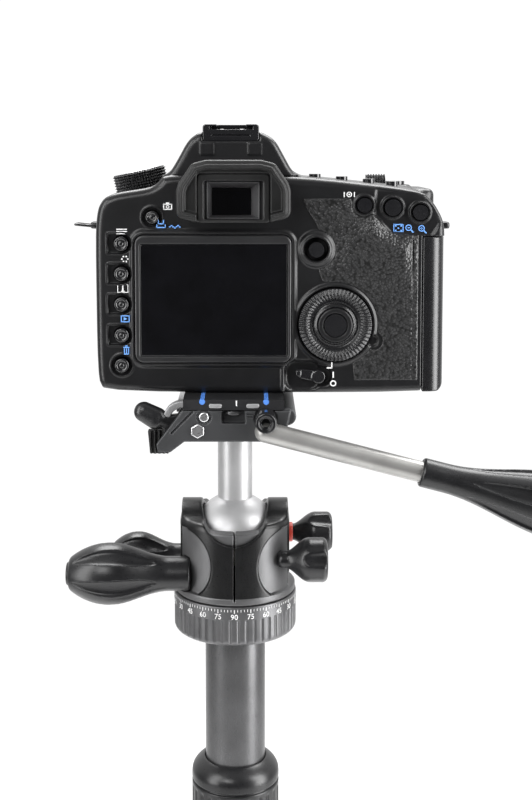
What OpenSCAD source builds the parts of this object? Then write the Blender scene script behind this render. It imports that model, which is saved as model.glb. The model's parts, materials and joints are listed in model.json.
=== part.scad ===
// Digital SLR camera on a ball head with a pan handle, on a compact three-leg tripod.
// The column axis is X = 0, Y = 0. Z = 0 is the floor. The camera looks along +Y.

/* [Tripod] */
// Length of a leg from its hinge to the centre of its foot
leg_len = 350; // [320:5:380]
// Angle between a standing leg and the column
leg_angle = 23; // [20:1:25]
// Distance of the leg hinges from the column axis
hinge_r = 34; // [34:1:38]
// Radius of the outer leg tube
leg_r = 13; // [12:0.5:13]
// Radius of the sliding leg tube
inner_r = 11; // [10:0.5:11]
// Radius of the rubber foot
foot_r = 12; // [12:0.5:14]
// Radius of the centre column
column_r = 14; // [14:0.5:14.5]
// Length of the centre column
column_len = 300; // [280:5:310]
// Length of column that shows above its twist collar
column_show = 65; // [62:1:90]
// Height of the twist collar
collar_h = 43.5; // [38:0.5:50]
// Radius of the twist collar
collar_r = 20.5; // [19:0.5:21]

/* [Ball head] */
// Radius of the pan ring
ring_r = 28.5; // [28:0.5:30]
// Height of the pan ring
ring_h = 16; // [14:0.5:18]
// Radius of the ball
ball_r = 19.5; // [18.5:0.5:19.5]
// Height of the ball centre above the pan ring
ball_up = 25.5; // [25.5:0.5:28]
// Width of the head housing
housing_w = 49; // [48:0.5:51]
// Radius of the ball's stem
stem_r = 8; // [7:0.5:8]
// Height from the ball centre to the underside of the clamp
stem_len = 54.5; // [52:0.5:60]

/* [Clamp and pan handle] */
// Height of the clamp with its plate
clamp_h = 18.5; // [18:0.5:20]
// Half of the plate's width
plate_hw = 21.5; // [20:0.5:22]
// Angle of the pan handle below level
pan_drop = 14.6; // [10:0.2:20]
// Length of the pan handle from its pivot to the end of its grip
pan_len = 172; // [160:1:180]
// Radius of the pan handle's bare rod
rod_r = 4.5; // [4:0.25:4.5]

/* [Camera] */
// Height of the camera body's shoulders on the grip side
shoulder_z = 94.4; // [93:0.2:95]
// Half of the width of the finder hump at its foot
hump_hw = 29.2; // [28:0.2:30]
// Height of the finder hump
hump_z = 114.2; // [112:0.2:115]
// Width of the rear screen's cover
screen_w = 70.8; // [68:0.2:71]
// Height of the rear screen's cover
screen_h = 57.3; // [54:0.1:57.6]
// Radius of the rear control dial
dial_r = 15.9; // [15:0.1:16]
// Radius of the mode dial
mode_r = 11.5; // [11:0.25:11.5]

/* [Lens] */
// Largest radius of the lens barrel
lens_r = 36; // [34.5:0.5:37]
// Length of the lens in front of its flange
lens_len = 72; // [68:1:80]
// Radius of the filter thread's wall
filter_r = 33.1; // [32.5:0.1:33.2]

/* [Hidden] */
$fn = 64;
fit = 0.06;   // radial running clearance
gap = 0.3;    // gap between faces of pieces that move past each other
eps = 0.01;

// Tripod
leg_turn = [90, 210, 330];
hinge_z = leg_len * cos(leg_angle) + foot_r;
hub_r = 20.5;
hub_up = 12;
hub_down = 11;
lug_gap = 9.3;
lug_t = 4.7;
pin_r = 3;
tube_top = 14;
tube_end = leg_len - 50;
lock_top = leg_len - 54;
lock_h = 36;
inner_top = 70;
collar_z = hinge_z + hub_up + gap;
collar_top = collar_z + collar_h;

// Head
ring_z = collar_top + column_show;
ring_top = ring_z + ring_h;
ball_z = ring_top + ball_up;
cup_r = ball_r + 1.7;
ear_up = 15.9;
rim_up = 10.9;
socket_hw = 14.8;
tilt_y = -14;
tilt_z = ring_top + 11;
rear_y = 14;
rear_z = ring_top + 9.5;
front_knob_y = -17;
front_knob_z = ring_top + 18.5;
rear_knob_z = ring_top + 22;

// Clamp: heights below count from the camera's base
clamp_back = -48;
clamp_front = 17;
block_y = -35;
clamp_z = ball_z + stem_len;
base_z = clamp_z + clamp_h;
rail_z = 8;
slab_t = 4.5;
cord_x = [-13.3, 14];
cord_r = 1.3;
cord_up = 0.35;
lever_x = -25;
lever_z = -13;
pan_x = 13.8;
pan_z = -7.9;
pan_y = -54;

// Camera: x counts from the lens axis, z from the camera's base
cam_x = -1;
back_y = -35;
split_y = -29;
front_y = 3;
lens_z = 56;
flange_y = 20;
cam_left = -60;
cam_right = 92;
door_x = 82;
door_top = 68.5;
hinge_x = cam_right - 2;
hinge_y = 0.2;
top_split = 80;
screen_x = -43.4;
screen_z = 12.6;
dial_x = 45;
dial_z = 30.5;
stick_x = 36.7;
stick_z = 63.2;
switch_x = 37.8;
switch_z = 7.7;
mode_tilt = 12.6;
button_r = 3.1;
button_out = 1.6;
left_x = -49.6;
left_z = [65.7, 52.6, 39.3, 25.8, 12.6];
live = [-36.3, 77.5, 2.8];
// Finger dial's centre and the shutter button's foot
finger_dial = [67, 20, 88];
shutter = [77.5, 31.5, 83.5];
right = [[57.4, 82.3, 3.2], [69.6, 81.3, 3.6], [81.5, 79.2, 3.3]];
top_x = [37, 49, 61, 71.5];
eye_hw = 24;
eye_z = 75;
eye_top = 101;

// ---------- shared shapes ----------

// Cylinder that starts at y0 and runs along +Y
module along_y(r, y0, y1) {
    translate([0, y0, 0]) rotate([-90, 0, 0]) cylinder(r = r, h = y1 - y0);
}

// Cylinder that runs along X from x0 to x1
module along_x(r, x0, x1) {
    translate([x0, 0, 0]) rotate([0, 90, 0]) cylinder(r = r, h = x1 - x0);
}

// Outline in X and Z, extruded along Y from y0 to y1
module slab(y0, y1) {
    translate([0, y1, 0]) rotate([90, 0, 0]) linear_extrude(y1 - y0) children();
}

// Rectangle with round corners
module round_rect(x0, z0, x1, z1, r) {
    translate([x0 + r, z0 + r]) offset(r = r) square([x1 - x0 - 2 * r, z1 - z0 - 2 * r]);
}

// Rounds the outer and inner corners of an outline
module soften(r) {
    offset(r = r) offset(delta = -2 * r) offset(r = r) children();
}

// Places a leg's own frame: Z runs from the hinge to the foot
module at_leg(i) {
    rotate([0, 0, leg_turn[i]]) translate([hinge_r, 0, hinge_z])
        rotate([0, 180 - leg_angle, 0]) children();
}

// Places a camera part: X from the lens axis, Z from the base
module at_camera() {
    translate([cam_x, 0, base_z]) children();
}

// Places a clamp part: Z from the camera's base
module at_base() {
    translate([0, 0, base_z]) children();
}

// ---------- tripod ----------

module spider() {
    color("#2b2c2e") difference() {
        union() {
            translate([0, 0, hinge_z - hub_down]) cylinder(r = hub_r, h = hub_down + hub_up);
            for (a = leg_turn) rotate([0, 0, a]) translate([0, 0, hinge_z]) for (s = [-1, 1]) {
                translate([12, s * (lug_gap + lug_t / 2) - lug_t / 2, -9])
                    cube([hinge_r - 12, lug_t, 18]);
                translate([hinge_r, 0, 0])
                    along_y(9, s * (lug_gap + lug_t / 2) - lug_t / 2, s * (lug_gap + lug_t / 2) + lug_t / 2);
            }
        }
        translate([0, 0, hinge_z - 30]) cylinder(r = column_r + fit, h = 60);
        for (a = leg_turn) rotate([0, 0, a]) translate([hinge_r, 0, hinge_z])
            along_y(pin_r + fit, -20, 20);
    }
}

module column() {
    color("#3a3b3e") difference() {
        translate([0, 0, ring_z - column_len]) cylinder(r = column_r, h = column_len);
        translate([0, 0, ring_z - column_len + 20]) cylinder(r = column_r - 2, h = column_len - 26);
        translate([0, 0, ring_z - column_len - 1]) cylinder(r = 3.97, h = 15);
    }
}

module collar() {
    flutes = 20;
    color("#2f3033") difference() {
        translate([0, 0, collar_z]) rotate_extrude() polygon([
            [column_r + fit, 0], [collar_r - 1, 0], [collar_r, 1], [collar_r, collar_h - 5],
            [collar_r - 1, collar_h - 4], [15.5, collar_h], [column_r + fit, collar_h]]);
        for (i = [0 : flutes - 1]) rotate([0, 0, i * 360 / flutes])
            translate([collar_r + 1.4, 0, collar_z + 5]) cylinder(r = 2, h = collar_h - 12, $fn = 24);
    }
}

module leg_tube(i) {
    color("#3a3b3e") at_leg(i) difference() {
        union() {
            along_y(8.5, -lug_gap + gap, lug_gap - gap);
            along_y(pin_r, -lug_gap - lug_t, lug_gap + lug_t);
            translate([-8, -lug_gap + gap, 0]) cube([16, 2 * (lug_gap - gap), tube_top + 1]);
            translate([0, 0, tube_top]) cylinder(r = leg_r, h = tube_end - tube_top);
        }
        translate([0, 0, tube_top + 10]) cylinder(r = inner_r + fit, h = tube_end);
    }
}

module leg_lock(i) {
    ribs = 18;
    r = leg_r + 3;
    color("#1d1e20") at_leg(i) difference() {
        translate([0, 0, lock_top]) rotate_extrude() polygon([
            [inner_r + fit, 6], [leg_r + fit, 6], [leg_r + fit, 0], [r - 1, 0], [r, 1],
            [r, lock_h - 3], [r - 2.5, lock_h], [inner_r + fit, lock_h]]);
        for (k = [0 : ribs - 1]) rotate([0, 0, k * 360 / ribs])
            translate([r + 0.8, 0, lock_top + 5]) cylinder(r = 1.5, h = lock_h - 12, $fn = 24);
    }
}

module leg_inner(i) {
    color("#55575b") at_leg(i) {
        difference() {
            translate([0, 0, inner_top]) cylinder(r = inner_r, h = leg_len - 5 - inner_top);
            translate([0, 0, inner_top - 1]) cylinder(r = inner_r - 1.5, h = leg_len - 20 - inner_top);
        }
        translate([0, 0, lock_top + lock_h + 3]) cylinder(r = foot_r, h = leg_len - lock_top - lock_h - 3);
        translate([0, 0, leg_len]) sphere(r = foot_r);
    }
}

// ---------- ball head ----------

module pan_ring() {
    grooves = 48;
    color("#5a5c60") difference() {
        union() {
            translate([0, 0, ring_z]) rotate_extrude() polygon([
                [0, 0], [ring_r - 6, 0], [ring_r - 3, 1], [ring_r - 1, 3], [ring_r - 0.2, 5.5],
                [ring_r, 8], [ring_r, ring_h - 0.4], [ring_r - 0.4, ring_h], [0, ring_h]]);
            translate([0, 0, ring_top - eps]) cylinder(r = 9, h = 2.5);
        }
        for (i = [0 : grooves - 1]) rotate([0, 0, (i + 0.5) * 360 / grooves])
            translate([ring_r + 0.15, 0, ring_z - 1]) cylinder(r = 0.6, h = 11, $fn = 16);
    }
}

module housing() {
    z0 = ring_top + gap;
    hw = housing_w / 2;
    color("#242527") difference() {
        union() {
            translate([0, 0, z0]) rotate_extrude() polygon([
                [0, 0], [ring_r - 0.5, 0], [ring_r - 0.5, 3], [ring_r - 2, 5.5], [0, 5.5]]);
            intersection() {
                translate([0, 0, z0]) cylinder(r = ring_r - 1, h = ball_up + ear_up);
                union() {
                    slab(-40, 40) translate([0, z0]) round_rect(-hw, 0, hw, ball_up + rim_up - gap, 4);
                    translate([0, 0, ball_z]) along_x(ear_up, -hw, hw);
                }
            }
        }
        // Pan bearing, socket, mouth between the ears and the front clamping slit
        translate([0, 0, ring_top - 1]) cylinder(r = 9 + fit, h = 3.8);
        translate([0, 0, ball_z]) sphere(r = cup_r + fit);
        translate([-socket_hw, -40, ball_z + rim_up - 0.5]) cube([2 * socket_hw, 80, 20]);
        translate([0, 0, ball_z]) cylinder(r = 15.4, h = 30);
        translate([-0.5, -40, ring_top + 8]) cube([1, 22, 40]);
        // Scoops beside the front and rear faces
        for (sx = [-1, 1]) for (sy = [-1, 1])
            translate([sx * 29, sy * 26, ring_top + 6]) cylinder(r = 11, h = 40);
        // Clear flats under the front knob and behind the necks of the handles
        translate([20.6, front_knob_y - 7, front_knob_z - 5.5]) cube([20, 12.5, 11]);
        translate([-40, tilt_y - 9, tilt_z - 9]) cube([15.4, 18, 18]);
        translate([-40, rear_y - 8, rear_z - 8]) cube([15.4, 16, 16]);
        // Screw holes of the four knobs
        translate([0, tilt_y, tilt_z]) along_x(4 + fit, -40, -17);
        translate([0, rear_y, rear_z]) along_x(3.5 + fit, -40, -17);
        translate([0, front_knob_y, front_knob_z]) along_x(2.5 + fit, 15.5, 40);
        translate([0, rear_y, rear_knob_z]) along_x(2.5 + fit, 19, 40);
    }
}

module brake_cup() {
    color("#e8e4d8") difference() {
        translate([0, 0, ball_z]) sphere(r = cup_r);
        translate([0, 0, ball_z]) sphere(r = ball_r + fit);
        translate([-30, -30, ball_z - 1]) cube([60, 60, 40]);
    }
}

module ball_stem() {
    color("#b9bbbe") union() {
        translate([0, 0, ball_z]) sphere(r = ball_r);
        translate([0, 0, ball_z]) cylinder(r = stem_r, h = stem_len);
        translate([0, 0, clamp_z - eps]) cylinder(r = 5, h = 6);
    }
}

// Handle of revolution from its collar to its rounded end, along +Z
module grip_turned(neck, wide, len) {
    rotate_extrude() polygon(concat(
        [[0, 0]],
        [for (t = [0 : 0.05 : 0.95]) [neck + (wide - neck) * pow(sin(90 * min(1, t / 0.62)), 2)
            - (t > 0.62 ? (wide - neck * 1.15) * pow((t - 0.62) / 0.38, 1.7) : 0), t * len]],
        [[neck * 0.75, len * 0.985], [neck * 0.4, len], [0, len]]));
}

module tilt_handle() {
    color("#1b1c1e") translate([0, tilt_y, tilt_z]) {
        along_x(4, -24.9, -17.3);
        translate([-24.9, 0, 0]) rotate([0, -90, 0]) grip_turned(7.8, 14.4, 52);
    }
}

module rear_handle() {
    color("#1b1c1e") translate([0, rear_y, rear_z]) {
        along_x(3.5, -24.9, -17.3);
        translate([-24.9, 0, 0]) rotate([0, -90, 0]) grip_turned(6.6, 12.6, 35);
    }
}

// Small clamp knob with three lobes along +Z
module lobed_knob(len, r) {
    cylinder(r = 4, h = len - 1);
    translate([0, 0, len - 15]) linear_extrude(14) soften(1.2)
        for (a = [0, 120, 240]) rotate(a + 90) translate([r * 0.5, 0]) circle(r = r * 0.5, $fn = 32);
}

module front_knob() {
    color("#1b1c1e") translate([0, front_knob_y, front_knob_z]) {
        along_x(2.5, 16, 21.5);
        translate([21.2, 0, 0]) rotate([0, 90, 0]) lobed_knob(21, 10);
    }
}

module rear_knob() {
    color("#1b1c1e") translate([0, rear_y, rear_knob_z]) {
        along_x(2.5, 19.5, 26);
        translate([25, 0, 0]) rotate([0, 90, 0]) lobed_knob(21, 9.5);
    }
}

// ---------- clamp and pan handle ----------

// Tail that carries the lever's axle, at the left of the clamp
module tail_outline() {
    polygon([[-18, -slab_t - gap], [-22, -slab_t - gap], [-33, -19.5], [-32.3, -23], [-27, -23], [-18, -16]]);
}

module clamp_body() {
    hw = 22;
    color("#2a2b2d") at_base() difference() {
        union() {
            slab(clamp_back, block_y) soften(0.8) polygon([
                [-hw, -clamp_h], [hw, -clamp_h], [26.6, -10], [27.2, -7.4], [25.6, -4.8], [-hw + 2, -4.8],
                [-hw, -8]]);
            slab(block_y - 1, clamp_front) polygon([
                [-hw, -clamp_h], [hw, -clamp_h], [hw + 2.5, -12], [hw + 2.5, -4.8], [19.2, -4.8],
                [15.4, -rail_z - gap], [-hw, -rail_z - gap]]);
            slab(clamp_back, clamp_back + 4) tail_outline();
            slab(-39, block_y) tail_outline();
        }
        translate([0, 0, -clamp_h - 1]) cylinder(r = 5.05, h = 8);
        translate([lever_x, 0, lever_z]) along_y(2 + fit, -50, -30);
        translate([lever_x, 0, lever_z]) along_y(6, clamp_back + 4, -39);
        translate([pan_x, 0, pan_z]) along_y(2.5 + fit, -50, -40);
        translate([-5, clamp_back - 1, -10.4]) cube([10.2, 3, 5]);
    }
}

module clamp_jaw() {
    color("#6a6c70") at_base() slab(block_y + gap, clamp_front) polygon([
        [-25, -rail_z], [-18.2, -rail_z], [-15.6, -4.9], [-25, -4.9]]);
}

module clamp_lever() {
    color("#1b1c1e") at_base() translate([lever_x, 0, lever_z]) {
        along_y(2, clamp_back + 0.5, block_y - 0.5);
        along_y(5.4, clamp_back + 4 + gap, -39 - gap);
        slab(clamp_back + 4 + gap, -39 - gap) hull() {
            circle(r = 4, $fn = 32);
            translate([-15, 6.5]) circle(r = 3.4, $fn = 32);
        }
    }
}

module plate() {
    color("#1f2022") at_base() {
        difference() {
            union() {
                slab(clamp_back, clamp_front) polygon([
                    [-plate_hw, -slab_t], [plate_hw, -slab_t], [plate_hw, 0], [-plate_hw, 0]]);
                slab(block_y + gap, clamp_front) polygon([
                    [-14.9, -slab_t], [14.9, -slab_t], [14.9, -5.2], [15.1, -rail_z], [-15.1, -rail_z],
                    [-14.9, -5.2]]);
            }
            for (x = cord_x) translate([x, 0, -cord_r + cord_up]) along_y(cord_r, -60, 30);
            for (x = [-7.7, 8.3]) translate([x - 2.7, clamp_back - 1, -3.6]) cube([5.4, 3, 1.8]);
        }
        translate([cam_x, -10, -1]) cylinder(r = 3.1, h = 6);
    }
}

module plate_cords() {
    color("#3f7fd0") at_base() for (x = cord_x) intersection() {
        translate([x, 0, -cord_r + cord_up]) along_y(cord_r, clamp_back + 0.1, clamp_front);
        translate([x - 3, -60, -4]) cube([6, 90, 4]);
    }
}

module pan_frame() {
    at_base() translate([pan_x, pan_y, pan_z]) rotate([0, pan_drop, 0]) children();
}

module pan_rod() {
    color("#8a8c8f") {
        at_base() translate([pan_x, 0, pan_z]) {
            along_y(6, pan_y - 3.5, clamp_back - gap);
            along_y(2.5, clamp_back - 1, -41);
        }
        pan_frame() along_x(rod_r, 3, pan_len - 30);
    }
}

module pan_grip() {
    color("#1b1c1e") pan_frame() difference() {
        translate([69, 0, 0]) rotate([0, 90, 0]) grip_turned(6.2, 14.2, pan_len - 69);
        along_x(rod_r, 60, pan_len - 29.9);
    }
}

// ---------- camera ----------

// Outline of the body seen from behind, below the finder hump
module body_outline() {
    soften(1.5) polygon([
        [cam_left + 3, 0.2], [cam_right - 5, 0], [cam_right, 5], [cam_right, 70], [cam_right - 1, 76],
        [88, 82.6], [82.4, 88], [hump_hw, shoulder_z], [-hump_hw, shoulder_z], [-52, 87.8],
        [-56.8, 84.8], [-59.4, 78], [cam_left, 66], [cam_left + 0.6, 6]]);
}

// Outline of the finder hump
module hump_outline() {
    soften(1.2) polygon([
        [-hump_hw, 80], [-hump_hw, 95.3], [-26.1, 100.1], [-18.7, 110.7], [-13.4, hump_z],
        [12.1, hump_z], [18.7, 110.7], [23.9, 102.3], [27, 96.2], [hump_hw + 0.4, shoulder_z],
        [hump_hw + 0.4, 80]]);
}

// Outline of the hand grip from above
module grip_outline() {
    soften(5) polygon([[48, front_y - 3], [58, 30], [66, 38], [80, 38], [90, 28], [91.5, front_y - 3]]);
}

module cam_body() {
    color("#18191b") at_camera() difference() {
        union() {
            slab(split_y, front_y) intersection() {
                body_outline();
                translate([-100, -1]) square([220, top_split + 1]);
            }
            // Lens mount boss and hand grip
            slab(front_y - 4, flange_y) intersection() {
                translate([0, lens_z]) circle(r = 35);
                translate([-50, 0]) square([100, top_split]);
            }
            slab(front_y - 3, 14) round_rect(-33, 22, 33, top_split - 1, 8);
            translate([0, 0, 1]) linear_extrude(top_split - 1) grip_outline();
            for (x = [cam_left - 4, cam_right - 1]) translate([x, -20, 71]) cube([5, 8, 3]);
        }
        // Mirror box, throat, sensor seat, battery bay, socket for the tripod screw
        translate([-20, -14, 36]) cube([40, 32, top_split]);
        translate([0, 0, lens_z]) along_y(27, 5, flange_y + 1);
        translate([-19.5, -19, 43]) cube([39, 6, 27]);
        translate([62, 6, -1]) cube([22, 26, 62]);
        translate([0, -10, -1]) cylinder(r = 3.16, h = 8);
        // Seats of the doors with their hinges
        translate([door_x - gap, split_y - 1, 0.6]) cube([20, 6.4, door_top + 0.6]);
        translate([cam_right - 4, split_y - 1, 0.6]) cube([10, hinge_y - 0.8 - split_y, door_top + 0.6]);
        translate([hinge_x, hinge_y, 6]) cylinder(r = 0.8 + fit, h = 58);
        translate([hinge_x, hinge_y, 9.5]) cylinder(r = 2.75, h = 51);
        translate([58.7, 4.2, -1]) cube([30.6, 29.6, 3.2]);
        translate([89, 19, 1.3]) along_y(0.7 + fit, -14, 14);
        translate([89, 19, 1.3]) along_y(1.5, -12.4, 12.4);
        // Well under the finger dial
        translate(finger_dial - [0, 0, 8]) along_x(10, -5, 5);
    }
}

module cam_rear() {
    color("#1b1c1e") at_camera() difference() {
        union() {
            slab(back_y, split_y - eps) body_outline();
            // Eyepiece frame and the hub of the control dial
            slab(back_y - 9, back_y + eps) round_rect(-15.4, 75.4, 15.4, 95.4, 2);
            translate([dial_x, 0, dial_z]) along_y(7.5, back_y - 2.5, split_y - 1);
        }
        slab(back_y - 20, split_y + 1) round_rect(-8.5, 77.7, 8.5, 90, 1);
        // Seats of the screen, dial, joystick and switch
        slab(back_y - 1, back_y + 1.2) round_rect(screen_x - 0.2, screen_z - 0.2, screen_x + screen_w + 0.2,
            screen_z + screen_h + 0.2, 4.2);
        translate([dial_x, 0, dial_z]) difference() {
            along_y(dial_r + 0.4, back_y - 3, back_y + 2.5);
            along_y(7.5, back_y - 4, back_y + 3);
        }
        translate([dial_x, 0, dial_z]) along_y(4.9 + fit, back_y - 4, back_y + 4.8);
        translate([stick_x, 0, stick_z]) along_y(5.2, back_y - 1, back_y + 2.8);
        translate([stick_x, 0, stick_z]) along_y(2.8, back_y - 1, split_y + 1);
        slab(back_y - 1, back_y + 1.6) round_rect(24, 1.6, 44.5, 14.2, 3);
        translate([switch_x, 0, switch_z]) along_y(2 + fit, back_y, back_y + 5);
        // Bores of the push buttons
        for (z = left_z) translate([left_x, 0, z]) along_y(button_r + fit, back_y - 1, back_y + 5.4);
        translate([live[0], 0, live[1]]) along_y(live[2] + fit, back_y - 1, back_y + 5.4);
        for (b = right) translate([b[0], 0, b[1]]) along_y(b[2] + fit, back_y - 1, back_y + 5.4);
        // Seat of the card door
        translate([door_x - gap, back_y - 1, 0.6]) cube([20, 10, door_top + 0.6]);
    }
}

module cam_top() {
    color("#1b1c1e") at_camera() difference() {
        union() {
            slab(split_y, front_y) intersection() {
                body_outline();
                translate([-100, top_split]) square([220, 60]);
            }
            slab(split_y, flange_y - 1) intersection() {
                hump_outline();
                translate([-100, top_split]) square([220, 60]);
            }
            slab(front_y - 4, flange_y) intersection() {
                translate([0, lens_z]) circle(r = 35);
                translate([-50, top_split]) square([100, 20]);
            }
            slab(back_y + 3, split_y + 1) intersection() {
                hump_outline();
                translate([-100, shoulder_z + 0.3]) square([200, 40]);
            }
            translate([0, 0, top_split]) linear_extrude(8) grip_outline();
            // Seat of the mode dial
            mode_frame() translate([0, 0, -6]) cylinder(r = mode_r - 1, h = 7);
        }
        // Throat, chamber of the prism and finder tunnel
        translate([0, 0, lens_z]) along_y(27, 5, flange_y + 1);
        translate([-15, -12, 79]) cube([30, 28, 31]);
        slab(split_y - 1, -11) round_rect(-8.5, 77.7, 8.5, 90, 1);
        mode_frame() translate([0, 0, -4.5]) cylinder(r = 3 + fit, h = 10);
        mode_frame() translate([0, 0, 1]) cylinder(r = mode_r + 0.5, h = 14);
        translate(finger_dial) along_x(9.5, -5, 5);
        translate(finger_dial) along_x(1 + fit, -8, 8);
        translate(shutter - [0, 0, 1.5]) cylinder(r = 4.5 + fit, h = 10);
        for (x = top_x) translate([x, -12, 84]) cylinder(r = 2.6 + fit, h = 20);
    }
}

// Places the mode dial: Z along its tilted axis
module mode_frame() {
    translate([-40.2, -10, 88.9]) rotate([0, -mode_tilt, 0]) children();
}

module lens_mount() {
    color("#b7b9bc") at_camera() translate([0, 0, lens_z]) difference() {
        along_y(33, flange_y, flange_y + 2);
        along_y(27, flange_y - 1, flange_y + 3);
    }
}

module mirror() {
    color("#c9ccd0") at_camera() translate([0, -11.5, 77.5]) rotate([-45, 0, 0]) {
        translate([-17, 0, -0.5]) cube([34, 30, 1]);
        along_x(1, -19.5, 19.5);
    }
}

module viewfinder_glass() {
    color("#7f8fa0") at_camera() {
        translate([-14, 0, 0]) rotate([90, 0, 90]) linear_extrude(28) polygon([
            [-11, 82], [14, 82], [14, 94], [2, 108], [-11, 98]]);
        slab(back_y - 3, back_y - 0.5) round_rect(-8.4, 77.8, 8.4, 89.9, 0.9);
    }
}

module sensor() {
    color("#3d5a50") at_camera() {
        translate([-19, -18.6, 43.4]) cube([38, 2, 26]);
        translate([-18, -16.6 - eps, 44.4]) cube([36, 0.8, 24]);
    }
}

module battery() {
    color("#3b3d40") at_camera() translate([62.6, 6.6, 4]) cube([20.8, 24.8, 55]);
}

module battery_door() {
    color("#1b1c1e") at_camera() {
        translate([59, 4.5, 0]) cube([29, 29, 1.9]);
        translate([89, 19, 1.3]) {
            along_y(1.2, -12, 12);
            along_y(0.7, -13.8, 13.8);
            translate([-1.6, -12, -1.2]) cube([1.6, 24, 1.6]);
        }
    }
}

module card_door() {
    color("#1b1c1e") at_camera() {
        slab(back_y, back_y + 4) round_rect(door_x, 0.9, cam_right, door_top, 1.5);
        translate([cam_right - 3.6, back_y + 1.5, 0.9])
            cube([3.6, hinge_y - 4.8 - back_y, door_top - 0.9]);
        translate([hinge_x, hinge_y, 10]) {
            cylinder(r = 1.8, h = 50);
            translate([-1.6, -3.4, 0]) cube([2.6, 3.4, 50]);
            translate([0, 0, -3]) cylinder(r = 0.8, h = 56);
        }
    }
}

module lcd_window() {
    color("#0b0c0d") at_camera() slab(back_y - 1.2, back_y + 1.2)
        round_rect(screen_x, screen_z, screen_x + screen_w, screen_z + screen_h, 4);
}

module eyecup() {
    color("#141516") at_camera() difference() {
        slab(back_y - 18, back_y - 3) soften(1.5) polygon([
            [-eye_hw, eye_z], [eye_hw, eye_z], [eye_hw, eye_top - 8], [eye_hw - 6, eye_top],
            [-eye_hw + 6, eye_top], [-eye_hw, eye_top - 8]]);
        slab(back_y - 19, back_y - 2) round_rect(-15.6, eye_z + 0.2, 15.6, 95.7, 2);
    }
}

module hot_shoe() {
    color("#8f9194") at_camera() difference() {
        translate([-10.5, -22, hump_z]) cube([21, 20, 2.8]);
        translate([-9.4, -23, hump_z + 0.6]) cube([18.8, 20, 1.5]);
        translate([-6.4, -23, hump_z + 1]) cube([12.8, 20, 3]);
    }
}

module mode_dial() {
    color("#202123") at_camera() mode_frame() {
        translate([0, 0, 1 + gap]) cylinder(r = mode_r, h = 6.4);
        translate([0, 0, -4]) cylinder(r = 3, h = 6);
    }
}

module quick_dial() {
    color("#1a1b1d") at_camera() translate([dial_x, 0, dial_z]) difference() {
        union() {
            along_y(dial_r, back_y - 2.4, back_y + 2.2);
            along_y(dial_r - 4.5, back_y - 3.2, back_y);
        }
        along_y(7.5 + fit, back_y - 5, back_y + 5);
    }
}

module set_button() {
    color("#1f2022") at_camera() translate([dial_x, 0, dial_z])
        along_y(4.9, back_y - 3.4, back_y + 3.4);
}

module main_dial() {
    color("#1a1b1d") at_camera() translate(finger_dial) {
        along_x(8.5, -4.2, 4.2);
        along_x(1, -7.6, 7.6);
    }
}

module shutter_button() {
    color("#1f2022") at_camera() translate(shutter) cylinder(r = 4.5, h = 7);
}

module joystick() {
    color("#232426") at_camera() translate([stick_x, 0, stick_z]) {
        along_y(3.3, back_y - 3, back_y - 0.6);
        along_y(1.4, back_y - 1, back_y + 3.6);
        translate([0, back_y + 3.6, 0]) sphere(r = 2);
    }
}

module power_lever() {
    color("#202123") at_camera() translate([switch_x, 0, switch_z]) {
        along_y(2, back_y + 1, back_y + 4.6);
        slab(back_y - 1.8, back_y + 1.3) hull() {
            circle(r = 3, $fn = 32);
            translate([-8.5, 1.5]) circle(r = 2.2, $fn = 32);
        }
    }
}

// Push button in the back cover, pressed along +Y
module back_button(x, z, r) {
    color("#1f2022") at_camera() translate([x, 0, z]) along_y(r, back_y - button_out, back_y + 4.4);
}

module top_buttons() {
    color("#1f2022") at_camera() for (i = [0 : len(top_x) - 1])
        translate([top_x[i], -12, 85.2]) cylinder(r = 2.6, h = 9.9 - i * 1.1);
}

// ---------- lens ----------

module lens_barrel() {
    r = lens_r;
    y0 = flange_y + 2 + eps;
    color("#17181a") at_camera() translate([0, y0, lens_z]) rotate([-90, 0, 0]) rotate_extrude() polygon([
        [22, 0], [r - 3, 0], [r - 2, 3], [r - 0.5, 24], [r - 5, 24.5], [r - 5, 46.5], [r, 47],
        [r, lens_len - 1], [r - 1, lens_len], [filter_r, lens_len], [filter_r, lens_len - 6],
        [29, lens_len - 10], [29, lens_len - 22], [22, 20]]);
}

module focus_ring() {
    ribs = 30;
    r = lens_r + 0.6;
    color("#101112") at_camera() translate([0, flange_y + 2, lens_z]) difference() {
        along_y(r, 24.8, 46.4);
        along_y(lens_r - 5 + fit, 20, 50);
        for (i = [0 : ribs - 1]) rotate([0, i * 360 / ribs, 0])
            translate([r + 0.7, 0, 0]) along_y(1.4, 27, 44, $fn = 24);
    }
}

module lens_glass() {
    color("#5c6a78") at_camera() translate([0, flange_y + 2, lens_z]) {
        intersection() {
            along_y(28.9, lens_len - 21, lens_len - 10);
            translate([0, lens_len - 66, 0]) sphere(r = 56, $fn = 96);
        }
        along_y(21.9, 2, 8);
    }
}

// ---------- assembly ----------

spider();
column();
collar();
leg_tube(0);  // leg_tube_1
leg_tube(1);  // leg_tube_2
leg_tube(2);  // leg_tube_3
leg_lock(0);  // leg_lock_1
leg_lock(1);  // leg_lock_2
leg_lock(2);  // leg_lock_3
leg_inner(0);  // leg_inner_1
leg_inner(1);  // leg_inner_2
leg_inner(2);  // leg_inner_3
pan_ring();
housing();
brake_cup();
ball_stem();
tilt_handle();
rear_handle();
front_knob();
rear_knob();
clamp_body();
clamp_jaw();
clamp_lever();
plate();
plate_cords();
pan_rod();
pan_grip();
cam_body();
cam_rear();
cam_top();
lens_mount();
mirror();
viewfinder_glass();
sensor();
battery();
battery_door();
card_door();
lcd_window();
eyecup();
hot_shoe();
mode_dial();
quick_dial();
set_button();
main_dial();
shutter_button();
joystick();
power_lever();
back_button(left_x, left_z[0], button_r);  // left_button_1
back_button(left_x, left_z[1], button_r);  // left_button_2
back_button(left_x, left_z[2], button_r);  // left_button_3
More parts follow.
